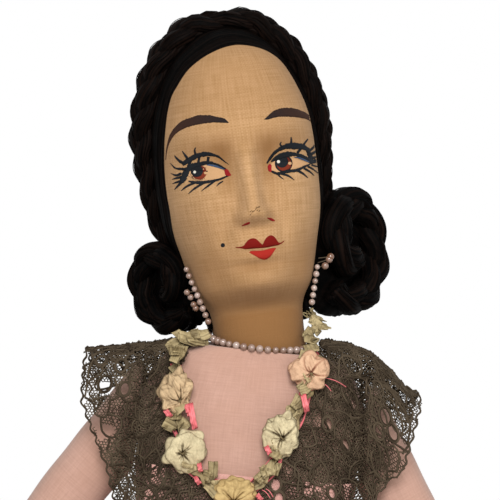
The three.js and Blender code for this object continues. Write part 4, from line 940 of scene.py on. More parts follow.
# strands and rows by first height, last height and number of pearls: the doll's right earring has a short second row,
# and the left one a cluster of bronze pearls at its top
earrings = {"Right": {"side": -1, "strand": (24.6, 0.6, 9), "row": (14.5, 7.0, 4), "rowOut": 3.0, "rowSize": 1.0},
            "Left": {"side": 1, "strand": (18.6, 3.4, 6), "row": (22.4, 18.4, 3), "rowOut": 4.6, "rowSize": 1.2}}
earringDepth, earringOff, earringFall = -13, 1.95, 0.28


def necklacePoints():
    angle = 2 * np.pi * (np.arange(beads["count"]) + 0.5) / beads["count"]
    return np.stack([beads["neckWide"] * np.cos(angle), beads["neckDeep"] * np.sin(angle),
                     beads["neckHeight"] + beads["neckTilt"] * np.sin(angle)], 1)


def beadString(name, points, radius, seed, loop, body, node):
    rng = np.random.default_rng(seed)
    sizes = rng.uniform(0.86, 1.06, len(points))
    made = beadPiece(name, points, radius, sizes, rng.uniform(0.1, 0.95, len(points)))
    line = np.concatenate([points, points[:1]]) if loop else points
    cord = threadPiece(name + "Thread", [evenly(line, len(line) * 2)], 0.3, laceThread, 5)
    whole = joined(name, [made, cord])
    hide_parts(node)
    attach(whole, body)
    return whole


def earringPoints(plan, heights, out=0.0):
    # it leaves the cheek where the jaw draws in, and hangs straight from there
    top = plan["strand"][0]
    straight = cheekWidth(earringDepth, top)
    wide = [max(cheekWidth(earringDepth, h), straight - earringFall * (top - h)) for h in heights]
    return toWorld([(plan["side"] * (w + earringOff + out), earringDepth + 0.3 * out, h)
                    for w, h in zip(wide, heights)])


beadString("necklaceBeads", necklacePoints(), beads["necklace"], 31, True, "torso", "pearl_necklace")
for name, plan in earrings.items():
    word = f"earring_{name.lower()}"
    strand = beadString(f"earringBeads{name}", earringPoints(plan, np.linspace(*plan["strand"])), beads["earring"],
                        33 + plan["side"], False, word, word)
    rng = np.random.default_rng(37 + plan["side"])
    heights = np.linspace(*plan["row"])
    row = earringPoints(plan, heights, plan["rowOut"]) + rng.normal(0, 0.7, (len(heights), 3))
    cluster = beadPiece("cluster", row, beads["earring"] * plan["rowSize"], np.ones(len(row)),
                        rng.uniform(0, 0.4, len(row)))
    held = threadPiece("clusterThread", [np.vstack(pair) for pair in zip(earringPoints(plan, heights), row)],
                       0.2, laceThread, 4)
    joined(strand.name, [strand, cluster, held])
print("beads made")

# Torso: stuffed flannel, flat under the seat and at the shoulder seams

torso = {
    "stations": [(0, 38, 22), (1.5, 42, 26), (10, 48, 32.5), (26.3, 52, 37), (60, 47, 33), (92, 43, 29),
                 (120, 45.5, 29.8), (143, 48, 30), (170, 52, 26), (188, 46.5, 23.6), (197, 41, 22.4),
                 (200.8, 33, 22.4), (202.5, 27, 22.2), (201.8, 25.2, 20.8)],
    "shoulder": 50.5, "rows": 130, "columns": 128, "seam": 1.6,
}
torsoLine = smoothCurve(torso["stations"], 500)


def torsoSize(height):
    rising = torsoLine[:-60]
    return np.interp(height, rising[:, 0], rising[:, 1]), np.interp(height, rising[:, 0], rising[:, 2])


def torsoPower(height):
    return 5 - 2.4 * smoothstep(height, 26.3, 92)


def chestDepth(x, height):
    wide, deep = torsoSize(height)
    power = torsoPower(height)
    share = np.minimum(np.abs(x) / wide, 0.97)
    return deep * (1 - share ** power) ** (1 / power)


def torsoRings(line, columns):
    angle = 2 * np.pi * np.arange(columns) / columns
    z, wide, deep = (line[:, k][:, None] for k in range(3))
    power = 2 / torsoPower(z)
    x, y = wide * signedPower(np.cos(angle), power), deep * signedPower(np.sin(angle), power)
    return np.stack([x, y, np.broadcast_to(z, x.shape)], -1)


def makeTorso():
    rings = torsoRings(evenly(torsoLine, torso["rows"]), torso["columns"])
    x, y, z = rings[..., 0], rings[..., 1], rings[..., 2]
    # seam down each side and the back, pulled in, and small stuffing lumps
    side = np.exp(-(y / torso["seam"]) ** 2) * smoothstep(z, 4, 12)
    back = np.exp(-(x / torso["seam"]) ** 2) * (y > 0) * smoothstep(z, 4, 12) * smoothstep(200 - z, 0, 8)
    lumps = np.sin(x * 0.11 + 1.3) * np.sin(z * 0.075 + 0.4) + 0.6 * np.sin(x * 0.23 + z * 0.17)
    lumps = lumps * smoothstep(z, 6, 30)
    swell = -0.9 * side - 0.8 * back + 0.35 * lumps * smoothstep(199 - z, 0, 12)
    away = unit(np.stack([x, y * 1.5, np.zeros_like(x)], -1))
    rings = rings + away * swell[..., None]
    rings[..., 0] = np.clip(rings[..., 0], -torso["shoulder"], torso["shoulder"])
    return gridPiece("torsoFlannel", rings, flannel, around=True, caps=(True, True))


torsoFlannel = makeTorso()
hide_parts("torso_cover", "torso_stuffing")
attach(torsoFlannel, "torso")

# Limbs: each arm and leg is one stuffed flannel tube, stitched flat where it bends
arm = {"lean": 34.0, "upper": 92.0, "shoulder": (50.5, 0, 170.0), "inner": 50.9,
       "stations": [(-16, 15, 13.5), (0, 15, 13.5), (41, 14, 13.5), (68, 12.6, 11.4), (83, 11.2, 6.8),
                    (89.5, 10.6, 2.9), (92, 10.4, 2.0), (94.5, 10.6, 2.9), (101, 11.4, 6.8), (114, 12.5, 11.4),
                    (134, 10.6, 9.6), (152, 7.5, 6.7), (160, 8.4, 6.0), (169, 10.5, 5.2), (179, 9.2, 4.6),
                    (186, 6.4, 3.8), (189.2, 3.2, 2.2), (190, 0.2, 0.2)],
       "thumb": [(0, 3.2, 3.2), (7, 3.9, 3.6), (14, 3.7, 3.3), (18.4, 2.4, 2.2), (19.6, 0.2, 0.2)]}
leg = {"hip": (27.0, -40.0, 26.34), "knee": (27.0, -204.84, 19.0), "ankle": (27.0, -344.7, 13.0), "thigh": 165.0,
       "stations": [(0, 19, 2.2), (3, 19.2, 3.4), (14, 20.6, 11), (34, 22, 19.5), (74, 22, 21), (112, 20, 18.4),
                    (139, 17.6, 14.6), (155, 15.8, 8.2), (162.4, 15.1, 3.1), (165, 15, 2.2), (167.6, 15.1, 3.1),
                    (175, 15.8, 8.2), (191, 17, 15.6), (228, 16.5, 15), (262, 12.8, 12), (289, 10, 10), (303, 9, 9),
                    (305, 6, 6), (305.4, 0.2, 0.2)]}


def limbGrid(middles, across, deep, line, columns, seams, seed):
    rng = np.random.default_rng(seed)
    angle = 2 * np.pi * np.arange(columns) / columns
    c = signedPower(np.cos(angle), 2 / 2.2)[None]
    s = signedPower(np.sin(angle), 2 / 2.2)[None]
    d, wide, deepness = (line[:, k][:, None] for k in range(3))
    pucker = np.zeros((len(line), columns))
    for seam, folds in seams:
        near = np.exp(-np.abs(d - seam) / 9) * smoothstep(np.abs(d - seam), 0.5, 4)
        pucker += near * 0.75 * np.cos(folds * angle[None] + rng.uniform(0, 6))
    lumps = 0.3 * np.sin(d * 0.16 + angle[None] * 2 + rng.uniform(0, 6)) * np.sin(d * 0.07 + rng.uniform(0, 6))
    side = -0.7 * (np.exp(-(s / 0.09) ** 2) * (c < 0))
    swell = (pucker + lumps + side) * np.minimum(deepness / 8, 1)
    return (middles[:, None] + across * ((wide + swell) * c)[..., None] + deep * ((deepness + swell) * s)[..., None])


def makeArm(name, side):
    tilt = math.radians(arm["lean"])
    along = np.array([side * math.sin(tilt), 0, -math.cos(tilt)])
    across = np.array([math.cos(tilt), 0, side * math.sin(tilt)])
    deep = np.array([0.0, 1.0, 0.0])
    shoulder = np.array(arm["shoulder"]) * [side, 1, 1]
    line = evenly(smoothCurve(arm["stations"], 400), 150)
    rings = limbGrid(shoulder + along * line[:, :1], across, deep, line, 56, ((arm["upper"], 9),), 40 + side)
    rings[..., 0] = side * np.maximum(side * rings[..., 0], arm["inner"])
    tube = gridPiece(f"armFlannel{name}", rings, flannel, around=True, caps=(True, True))
    elbow = shoulder + along * arm["upper"]
    # mitten thumb, set into the palm
    thumbWay = unit(along - across * side * 0.62)
    thumbLine = smoothCurve(arm["thumb"], 22)
    root = elbow + along * 66 - across * side * 4.5
    thumbRings = limbGrid(root + thumbWay * thumbLine[:, :1], unit(np.cross(deep, thumbWay)), deep, thumbLine, 20,
                          (), 50)
    thumb = gridPiece("thumb", thumbRings, flannel, around=True, caps=(True, True))
    whole = joined(f"armFlannel{name}", [tube, thumb])
    word = name.lower()
    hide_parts(f"upper_arm_cover_{word}", f"upper_arm_stuffing_{word}", f"forearm_cover_{word}",
                f"forearm_stuffing_{word}")
    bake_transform(whole)


def makeLeg(name, side):
    hip, knee, ankle = (np.array(leg[key]) * [side, 1, 1] for key in ("hip", "knee", "ankle"))
    line = evenly(smoothCurve(leg["stations"], 500), 170)
    first, second = unit(knee - hip), unit(ankle - knee)
    d = line[:, :1]
    bend = smoothstep(d, leg["thigh"] - 6, leg["thigh"] + 6)
    middles = np.where(d < leg["thigh"], hip + first * d, knee + second * (d - leg["thigh"]))
    deep = unit(np.cross(sideways, first * (1 - bend) + second * bend))[:, None]
    rings = limbGrid(middles, sideways, deep, line, 64, ((0, 11), (leg["thigh"], 10)), 60 + side)
    tube = gridPiece(f"legFlannel{name}", rings, flannel, around=True, caps=(True, True))
    word = name.lower()
    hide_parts(f"thigh_cover_{word}", f"thigh_stuffing_{word}", f"shin_cover_{word}", f"shin_stuffing_{word}")
    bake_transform(tube)
    return hip, knee, ankle


for name, side in sides.items():
    makeArm(name, side)
legPlaces = {name: makeLeg(name, side) for name, side in sides.items()}
print("torso and limbs made")

# Slip: a bodice round the torso and two short flared legs, thin voile with stitched hems
slip = {"off": 1.1, "top": 148.0, "hem": 7.0, "frontHem": 42.5, "ease": 1.6, "legStart": 17.0, "legLength": 41.0,
        "flare": 5.2, "rows": 56, "columns": 144, "legRows": 30, "legColumns": 96, "thick": 0.4}
stitch = {"long": 1.7, "gap": 1.3, "thread": 0.2}


def makeBodice():
    angle = 2 * np.pi * np.arange(slip["columns"]) / slip["columns"]
    front = smoothstep(-np.sin(angle), 0.35, 0.62)
    hem = slip["hem"] + (slip["frontHem"] - slip["hem"]) * front
    rows = []
    for share in np.linspace(0, 1, slip["rows"]):
        z = hem + (slip["top"] - hem) * share
        wide, deep = torsoSize(z)
        power = 2 / torsoPower(z)
        fold = 0.45 * (1 - smoothstep(share, 0.0, 0.5)) * np.cos(17 * angle) + 0.3 * np.cos(9 * angle + z * 0.06)
        off = slip["off"] + 0.35 + fold * 0.5 + 0.5 * smoothstep(share, 0.975, 1.0) + 0.4 * (share < 0.02)
        rows.append(np.stack([(wide + off) * signedPower(np.cos(angle), power),
                              (deep + off) * signedPower(np.sin(angle), power), z], 1))
    return gridPiece("slipBodice", np.array(rows), voile, around=True)


def makeSlipLeg(name, side):
    hip, knee = legPlaces[name][:2]
    along = unit(knee - hip)
    deep = unit(np.cross(sideways, along))
    line = smoothCurve(leg["stations"], 500)
    angle = 2 * np.pi * np.arange(slip["legColumns"]) / slip["legColumns"]
    rows = []
    for share in np.linspace(0, 1, slip["legRows"]):
        d = slip["legStart"] + slip["legLength"] * share
        wide, thick = np.interp(d, line[:, 0], line[:, 1]), np.interp(d, line[:, 0], line[:, 2])
        ripple = share * (0.9 * np.cos(8 * angle + 0.7) + 0.5 * np.cos(13 * angle))
        off = slip["ease"] + slip["flare"] * share + ripple
        ring = (hip + along * d + sideways * ((wide + off) * signedPower(np.cos(angle), 0.91))[:, None]
                + deep * ((thick + off) * signedPower(np.sin(angle), 0.91))[:, None])
        ring[:, 2] = np.maximum(ring[:, 2], 0.5)
        ring[:, 0] = side * np.maximum(side * ring[:, 0], 0.5)
        rows.append(ring)
    return gridPiece(f"slipLeg{name}", np.array(rows), voile, around=True)


def rowsOf(piece, rows, columns):
    return np.array([v.co for v in piece.data.vertices]).reshape(rows, columns, 3) / metres


def hemStitches(name, line, body):
    line = np.concatenate([line, line[:1]])
    count = max(2, int(lengthOf(line) / (stitch["long"] + stitch["gap"])))
    spots = evenly(line, count * 6)
    dashes = [spots[n * 6:n * 6 + 4] for n in range(count)]
    piece = threadPiece(name, dashes, stitch["thread"], sewing, 4)
    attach(piece, body)


slipBodice = makeBodice()
rim = rowsOf(slipBodice, slip["rows"], slip["columns"])
for name, row in (("bodiceTopStitches", rim[53]), ("bodiceHemStitches", rim[2])):
    hemStitches(name, row + unit(row * [1, 1, 0]) * 0.25, "torso")
slipBodice.modifiers.new("cloth", "SOLIDIFY").thickness = slip["thick"] * metres
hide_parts("slip_bodice")
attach(slipBodice, "torso")
for name, side in sides.items():
    piece = makeSlipLeg(name, side)
    row = rowsOf(piece, slip["legRows"], slip["legColumns"])[27]
    hemStitches(f"slipLegStitches{name}", row + unit(row - row.mean(0)) * 0.3, f"thigh_{name.lower()}")
    piece.modifiers.new("cloth", "SOLIDIFY").thickness = slip["thick"] * metres
    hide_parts(f"slip_leg_{name.lower()}")
    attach(piece, f"thigh_{name.lower()}")
print("slip made")

# Shoes: dark felt pumps with a bound top edge, over wooden heels
shoe = {"point": 52.0, "start": (0, -5.8, -3.95), "binding": (13, 4, 11.1, 9.6),
        "stations": [(-5.2, 4.4, 3.8), (-4.4, 6.6, 6.0), (0, 9.4, 8.8), (2, 10.2, 9.4), (21, 11.2, 8.9),
                     (34, 11.4, 7.4), (46, 10.4, 5.4), (56, 7.0, 3.6), (60.2, 3.2, 1.9), (61, 0.2, 0.2)]}


def makeShoe(name, side):
    ankle = legPlaces[name][2]
    tilt = math.radians(shoe["point"])
    along = np.array([0, -math.cos(tilt), math.sin(tilt)])
    deep = unit(np.cross(along, sideways))
    start = ankle + shoe["start"]
    line = evenly(smoothCurve(shoe["stations"], 200), 60)
    rings = limbGrid(start + along * line[:, :1], sideways, deep, line, 44, (), 70 + side)
    last = gridPiece(f"shoeFelt{name}", rings, felt, around=True, caps=(True, True))
    angle = np.linspace(0, 2 * np.pi, 60)
    reach, slope, wide, tall = shoe["binding"]
    binding = (start + along * (reach + slope * np.cos(angle))[:, None] + sideways * (wide * np.cos(angle))[:, None]
               + deep * (tall * np.sin(angle))[:, None])
    piping = threadPiece("piping", [binding], 0.7, felt, 6)
    whole = joined(f"shoeFelt{name}", [last, piping])
    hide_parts(f"shoe_{name.lower()}")
    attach(whole, f"shin_{name.lower()}")


for name, side in sides.items():
    makeShoe(name, side)
for node in ("neck_dowel", "heel_right", "heel_left"):
    solidPiece = frame["nodes"][node]
    solidPiece.data.materials.clear()
    solidPiece.data.materials.append(beech)
print("shoes made")

# Lace: a broad collar with wing sleeves. Oval cells edged with cord are filled with fine net, over a plain net lining.
# A place on the lace is its distance from the middle and its run over the shoulder, in front below zero
lace = {"cell": 4.0, "net": 0.78, "cord": 0.5, "thread": 0.27, "filled": 0.86, "lining": 1.0, "liningThread": 0.23,
        "liningReach": 61.0, "seam": 50.6, "hem": -80.0, "backHem": -58.0, "low": (0.0, -106.0), "high": (80.0, 86.0),
        "openTall": 1.35, "scallop": 2.4, "areaStep": 0.5}
# the neck seam's height, from which falls are measured, and the top of the chest's own form
neckSeam, chestTop = 205.0, 190.0
laceTop = {-1: [(0, 206), (24, 206.5), (30, 205), (44, 200.8), (65, 196.5), (80, 194)],
           1: [(0, 207), (24, 208), (30, 209), (40, 208.5), (50, 205.5), (60, 198.5), (68, 191.5), (80, 187)]}
laceReach = {-1: [(5, 77), (-11, 77), (-32, 75.5), (-49, 67.5), (-60, 61.5), (-74, 57), (-84, 54)],
             1: [(9, 60), (-10, 70), (-17, 74), (-26, 72.5), (-38, 70), (-47, 68.5), (-54, 62), (-63, 56), (-84, 53)]}
garlandLine = {-1: [(-25, -1), (-31, 3), (-35, 14), (-34.7, 26), (-31.5, 40), (-26, 51), (-17, 60), (-8, 65)],
               1: [(25, -13), (27, -6), (26.5, 1), (24, 10), (21.5, 22), (15.5, 38), (10.5, 50), (5, 60), (-1, 65)]}
# cells left open, at places on the lace: the see-through petals of the wings and the fan low on the doll's left
openCells = {-1: [(60, -20, 2.4), (66, -29, 2.6), (57, -31, 2.2), (69, -17, 2.0)],
             1: [(58, -33, 2.6), (62, -37, 2.3), (56, -41, 2.2), (33, -48, 2.2), (42, -52, 2.0), (9, -75, 2.2),
                 (13, -78, 2.3), (6, -80, 2.1), (15, -84, 2.2), (38, -76, 1.8)]}


def curveAt(table, value):
    order = sorted(table)
    return np.interp(value, [p[0] for p in order], [p[1] for p in order])


def laceSections(side):
    # sections of the draped lace for rising distance from the middle: place on the lace against depth and height
    across = np.linspace(0, 80, 41)
    drop = np.linspace(-110, 90, 201)
    depth, height = np.zeros((41, 201)), np.zeros((41, 201))
    for n, x in enumerate(across):
        top = curveAt(laceTop[side], x)
        over = top - 26 * (1 - np.cos(np.linspace(0, np.pi / 2, 40)))
        z = np.concatenate([over, np.linspace(top - 26.5, 105, 90)])
        bend = np.clip((z - (top - 26)) / 26, 0, 1)
        sleeve = smoothstep(x, 43, 53)
        body = chestDepth(min(x, 49.0), np.minimum(z, top - 20)) + 2.9
        wing = 21.5 + 3.5 * smoothstep(x, 53, 78)
        y = (body * (1 - sleeve) + wing * sleeve) * (1 - bend ** 2.3) ** (1 / 2.3)
        run = np.concatenate([[0], np.cumsum(np.hypot(np.diff(y), np.diff(z)))])
        depth[n] = np.sign(drop) * np.interp(np.abs(drop), run, y)
        height[n] = np.interp(np.abs(drop), run, z)
    return drop, depth, height


laceForm = {side: laceSections(side) for side in (-1, 1)}


def onLace(side, x, s, lift=0.0):
    drop, depth, height = laceForm[side]
    fx = np.clip(np.abs(x) / 2.0, 0, 39.999)
    fs = np.clip(s - drop[0], 0, 199.999)
    i, j = fx.astype(int), fs.astype(int)
    u, v = fx - i, fs - j
    pick = lambda t: (t[i, j] * (1 - u) * (1 - v) + t[i + 1, j] * u * (1 - v) + t[i, j + 1] * (1 - u) * v
                      + t[i + 1, j + 1] * u * v)
    y, z = pick(depth), pick(height)
    loose = smoothstep(np.abs(x), 26, 56) * smoothstep(np.abs(s), 6, 30)
    fold = loose * (1.7 * np.sin(np.abs(x) * 0.42 + s * 0.06 + side)
                    + 0.8 * np.sin(np.abs(x) * 0.95 + 2 * side + s * 0.11))
    return np.stack([side * np.abs(x), y + np.sign(s) * (fold + lift), z], -1)


def inLace(side, x, s):
    place = onLace(side, x, s)
    fall = place[..., 2] - neckSeam
    scallop = lace["scallop"] * np.abs(np.sin(x * 0.33))
    rag = 0.9 * np.sin(fall * 0.9) + 0.6 * np.sin(x * 1.1 + 2 * side)
    outer = np.abs(x) < curveAt(laceReach[side], fall) + 0.5 * rag
    line = garlandLine[side]
    inner = side * np.interp(-fall, [p[1] for p in line], [p[0] for p in line])
    front = (s < 0) & (np.abs(x) > inner - 1.5) & (fall > lace["hem"] + scallop)
    neck = np.where(fall > -6, 26.5, np.where(fall > -15.5, 20.0 + (fall + 15.5) * 0.7, -1.0))
    behind = (s >= 0) & (np.abs(x) > neck) & (fall > lace["backHem"] + scallop)
    over = (np.abs(s) < 10) & (np.abs(x) < 26.5)
    return outer & (front | behind) & ~over


def honeycomb(low, high, side, jitter, rng, tall=1.0):
    dx, dy = side * math.sqrt(3) / 2, side * 1.5 * tall
    cols, rows = int((high[0] - low[0]) / dx) + 2, int((high[1] - low[1]) / dy) + 2
    i, j = np.meshgrid(np.arange(cols), np.arange(rows), indexing="ij")
    x = low[0] + i * dx
    y = low[1] + j * dy + np.where((i + j) % 2 == 0, side / 4, -side / 4) * tall
    points = np.stack([x, y], -1).reshape(-1, 2) + rng.normal(0, jitter * side, (cols * rows, 2))
    number = lambda a, b: a * rows + b
    level = np.stack([number(i[:-1], j[:-1]), number(i[1:], j[1:])], -1).reshape(-1, 2)
    rise = ((i + j) % 2 == 0)[:, :-1]
    upright = np.stack([number(i[:, :-1][rise], j[:, :-1][rise]), number(i[:, 1:][rise], j[:, 1:][rise])], -1)
    return points, np.concatenate([level, upright])


def openness(side, x, s):
    # how far a place lies outside the nearest open cell, in shares of that cell's radius
    far = np.full(np.shape(x), 9.0)
    for cx, cs, r in openCells[side]:
        far = np.minimum(far, np.hypot((np.abs(x) - cx) / r, (s - cs) / (lace["openTall"] * r)))
    return far


def netLinks(side, spacing, jitter, rng, keepTest):
    fine, links = honeycomb(lace["low"], lace["high"], spacing, jitter, rng)
    ok = inLace(side, fine[:, 0], fine[:, 1]) & (openness(side, fine[:, 0], fine[:, 1]) > 1.0)
    links = links[ok[links[:, 0]] & ok[links[:, 1]]]
    middle = (fine[links[:, 0]] + fine[links[:, 1]]) / 2
    return fine, links[keepTest(middle)]


def laceLines(side, rng):
    points, edges = honeycomb(lace["low"], lace["high"], lace["cell"], 0.2, rng, 1.3)
    cords = []
    for a, b in edges:
        share = np.linspace(0, 1, 6)[:, None]
        sag = rng.normal(0, 0.16) * lace["cell"] * np.sin(np.pi * share)
        way = points[b] - points[a]
        line = points[a] + way * share + np.array([-way[1], way[0]]) / max(np.linalg.norm(way), 1e-6) * sag
        if inLace(side, line[:, 0], line[:, 1]).all() and (openness(side, line[:, 0], line[:, 1]) > 1).all():
            cords.append(line)
    for cx, cs, r in openCells[side]:
        ring = np.linspace(0, 2 * np.pi, 21)
        for grow in (1.0, 1.16):
            cords.append(np.stack([cx + grow * r * np.cos(ring), cs + lace["openTall"] * grow * r * np.sin(ring)], 1))
    # a few wandering cords thicken the fold over the shoulder, and long curling cords run over the cells
    for n in range(5):
        x = np.arange(27.0, 62.0, 0.6)
        ridge = np.stack([x, (n - 2) * 1.6 + 0.7 * np.sin(x * rng.uniform(1.0, 2.4) + n)], 1)
        cords.append(ridge[inLace(side, ridge[:, 0], ridge[:, 1])])
    for n in range(64):
        way = rng.uniform(0, 2 * np.pi)
        line = [np.array([rng.uniform(6, 74), rng.uniform(-88, 60)])]
        for step in range(26):
            way += rng.normal(0.12, 0.22)
            line.append(line[-1] + 1.5 * np.array([math.cos(way), math.sin(way)]))
        line = np.array(line)
        keep = inLace(side, line[:, 0], line[:, 1])
        stop = len(line) if keep.all() else int(np.argmin(keep))
        if stop > 5:
            cords.append(line[:stop])
    return cords


def edgeCords(side):
    # corded edges along the wing's outline
    lines = []
    drop, depth, height = laceForm[side]
    for sign in (-1, 1):
        fall = np.linspace(-4, -78 if sign < 0 else -56, 90)
        x = curveAt(laceReach[side], fall) - 0.4 + 0.7 * np.sin(fall * 1.1)
        found = []
        for xx, ff in zip(x, fall):
            n = int(min(max(xx / 2, 0), 40))
            half = drop < 0 if sign < 0 else drop > 0
            order = np.argsort(height[n][half])
            found.append(np.interp(ff + neckSeam, height[n][half][order], drop[half][order]))
        lines.append(np.stack([x, np.array(found)], 1))
    return lines


def makeLace():
    groups = {"Collar": [[], [], []], "Right": [[], [], []], "Left": [[], [], []]}
    area = {name: [0.0, 0.0] for name in groups}
    for side, sleeve in ((-1, "Right"), (1, "Left")):
        rng = np.random.default_rng(90 + side)
        for line in laceLines(side, rng) + edgeCords(side):
            dense = evenly(line, max(len(line), 4))
            far = np.abs(dense[:, 0]) > lace["seam"]
            for part, name in ((~far, "Collar"), (far, sleeve)):
                if part.sum() > 1:
                    placed = onLace(side, dense[part][:, 0], dense[part][:, 1], 0.25)
                    placed[:, 2] += 0.5 * np.exp(-(dense[part][:, 1] / 4) ** 2) * rng.normal(1, 0.7, part.sum())
                    groups[name][0].append(placed)
        seeds = np.stack([rng.uniform(low, high, 520) for low, high in zip(lace["low"], lace["high"])], 1)
        solidCell = rng.uniform(0, 1, len(seeds)) < lace["filled"]
        nearest = lambda m: np.array([np.argmin(((seeds - p) ** 2).sum(1)) for p in m])
        nets = ((lace["net"], 0.2, lambda m: solidCell[nearest(m)], 0.0),
                (lace["lining"], 0.12, lambda m: m[:, 0] < lace["liningReach"] + 2 * np.sin(m[:, 1] * 0.4), -0.9),
                (lace["net"], 0.2, lambda m: (np.abs(m[:, 0] - 52) < 7) & (m[:, 1] < -38), -1.7))
        for layer, (spacing, jitter, test, lift) in enumerate(nets):
            fine, links = netLinks(side, spacing, jitter, rng, test)
            world = onLace(side, fine[:, 0], fine[:, 1], lift)
            far = np.abs(fine[links]).max(1)[:, 0] > lace["seam"]
            for name, chosen in (("Collar", links[~far]), (sleeve, links[far])):
                groups[name][1 + min(layer, 1)].append((world, chosen))
        gx, gs = np.meshgrid(*(np.arange(low, high, lace["areaStep"]) for low, high in zip(lace["low"], lace["high"])),
                             indexing="ij")
        patchArea = (lace["areaStep"] * metres) ** 2
        whole = inLace(side, gx, gs)
        for layer, inside in enumerate((whole, whole & (gx < lace["liningReach"]))):
            area["Collar"][layer] += patchArea * (inside & (gx <= lace["seam"])).sum()
            area[sleeve][layer] += patchArea * (inside & (gx > lace["seam"])).sum()
    pieces = {}
    for name, (cords, *nets) in groups.items():
        rng = np.random.default_rng(len(name))
        edging = threadPiece(f"lace{name}Cords", cords, lace["cord"], laceThread, 4,
                             rng.uniform(0.05, 0.5, len(cords)))
        made = [[], []]
        for layer, thickness in ((0, lace["thread"]), (1, lace["liningThread"])):
            for n, (world, chosen) in enumerate(nets[layer]):
                used, edges = np.unique(chosen, return_inverse=True)
                place = world[used]
                patch = (0.5 + 0.28 * np.sin(place[:, 0] * 0.21 + 1.3) * np.cos(place[:, 2] * 0.17)
                         + rng.normal(0, 0.13, len(used)))
                made[layer].append(grow(threads, f"lace{name}Net{layer}{n}", place, edges.reshape(-1, 2).tolist(), 1.0,
                                        np.clip(patch, 0, 1),
                                        {"Thickness": thickness * metres, "Sides": 3, "Material": laceThread}))
        pieces[name] = joined(f"lace{name}", made[0]), joined(f"lining{name}", made[1]), edging
    return pieces, area


lacePieces, laceArea = makeLace()
for name, (net, lining, edging) in lacePieces.items():
    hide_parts("lace_collar" if name == "Collar" else f"lace_sleeve_{name.lower()}")
    for piece in (net, lining, edging):
        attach(piece, "torso" if name == "Collar" else f"upper_arm_{name.lower()}")
print("lace made")

# Garland: an olive ribbon folded into short loops and flat bits along the neckline, over a narrow coral ribbon
garland = {"off": 5.4, "twist": 15.0, "ribbon": 6.4, "leafLong": 9.0, "leafWide": 5.4, "ribs": 13, "leaves": 30,
           "turnIn": 40, "coralStart": 58, "thick": 0.2}


def onChest(px, py, off):
    # the place on the dressed chest that a pixel of the photograph shows
    way, depth = sightLine(px, py), -30.0
    for step in range(6):
        place = eye + way * ((depth - eye[1]) / way[1])
        depth = -float(chestDepth(place[0], min(place[2], chestTop))) - off
    return place


def garlandWay(side):
    neck = {-1: [(-22.5, -15, 203.5), (-29, -18, 204.6), (-36, -20, 202.4), (-35, -24.5, 197.5)],
            1: [(18.6, 4, 222.0), (24.6, -4, 216.5), (22.2, -12, 211.0), (22.4, -20, 206.0)]}[side]
    line = [np.array(p, float) for p in neck]
    for x, down in garlandLine[side]:
        if down > 8:
            z = neckSeam - down
            line.append(np.array([x, -float(chestDepth(x, min(z, chestTop))) - garland["off"], z]))
    return evenly(smoothCurve(line, 400), 200)


def ribbonGrid(line, across, out, width, curl, seed, ripple):
    # a strip of ribbon along a line, curled across and rippled along its edges
    rng = np.random.default_rng(seed)
    n = len(line)
    c = np.linspace(-1, 1, garland["ribs"])[None, :, None]
    t = np.linspace(0, 1, n)
    wave = np.stack([np.sin(2 * np.pi * (t * rng.uniform(1.5, 3.5) + rng.uniform())) for k in range(2)], 1)
    edge = ripple * (wave[:, :1, None] * np.maximum(c, 0) + wave[:, 1:, None] * np.maximum(-c, 0)) * 2
    rib = rng.normal(0, 0.09, garland["ribs"])[None, :, None]
    return (line[:, None, :] + across[:, None, :] * c * (width / 2)[:, None, None]
            + out[:, None, :] * (np.asarray(curl)[:, None, None] * (1 - c ** 2) + edge + rib))


def leafGrid(root, way, out, long, wide, seed):
    # a bit of ribbon folded back on itself: it rises from its root, turns over in a soft fold and comes back beneath
    rng = np.random.default_rng(seed)
    t = np.linspace(0, 1, 22)
    side = unit(np.cross(way, out))
    fold = rng.uniform(0.55, 0.75)
    reach = np.where(t < fold, t / fold, 1 - 0.85 * (t - fold) / (1 - fold))
    reach = 1.04 * reach - 0.12 * reach ** 4
    high = 0.3 + 1.7 * smoothstep(t, 0, fold) * (1 - smoothstep(t, fold, fold + 0.22)) + rng.uniform(-0.3, 0.5)
    line = (root + way * (reach * long)[:, None] + out * high[:, None]
            + side * (rng.uniform(-2.4, 2.4) * t ** 2)[:, None])
    pinch = 1 - 0.55 * np.exp(-(t / 0.16) ** 2)
    width = wide * pinch * (1 + 0.08 * np.sin(9 * t + rng.uniform(0, 6)))
    turn = rng.uniform(-0.6, 0.6) * t + rng.uniform(-0.25, 0.25)
    across = side * np.cos(turn)[:, None] + out * np.sin(turn)[:, None]
    lift = unit(out * np.cos(turn)[:, None] - side * np.sin(turn)[:, None])
    return ribbonGrid(line, across, lift, width, rng.uniform(-0.4, 0.9) * np.ones(22), seed, 0.3)


def gridTone(grid, rng, base, spread):
    # each rib of the ribbon has its own tone, and painted shade darkens it where the ribbon is pinched
    rows, cols = grid.shape[:2]
    rib = rng.normal(0, 0.6 * spread, cols)[None]
    t = np.linspace(0, 1, rows)[:, None]
    cloud = 0.5 * spread * np.sin(7 * t + rng.uniform(0, 6))
    return np.clip(base + rib + cloud - 0.3 * np.exp(-(t / 0.12) ** 2), 0, 1)


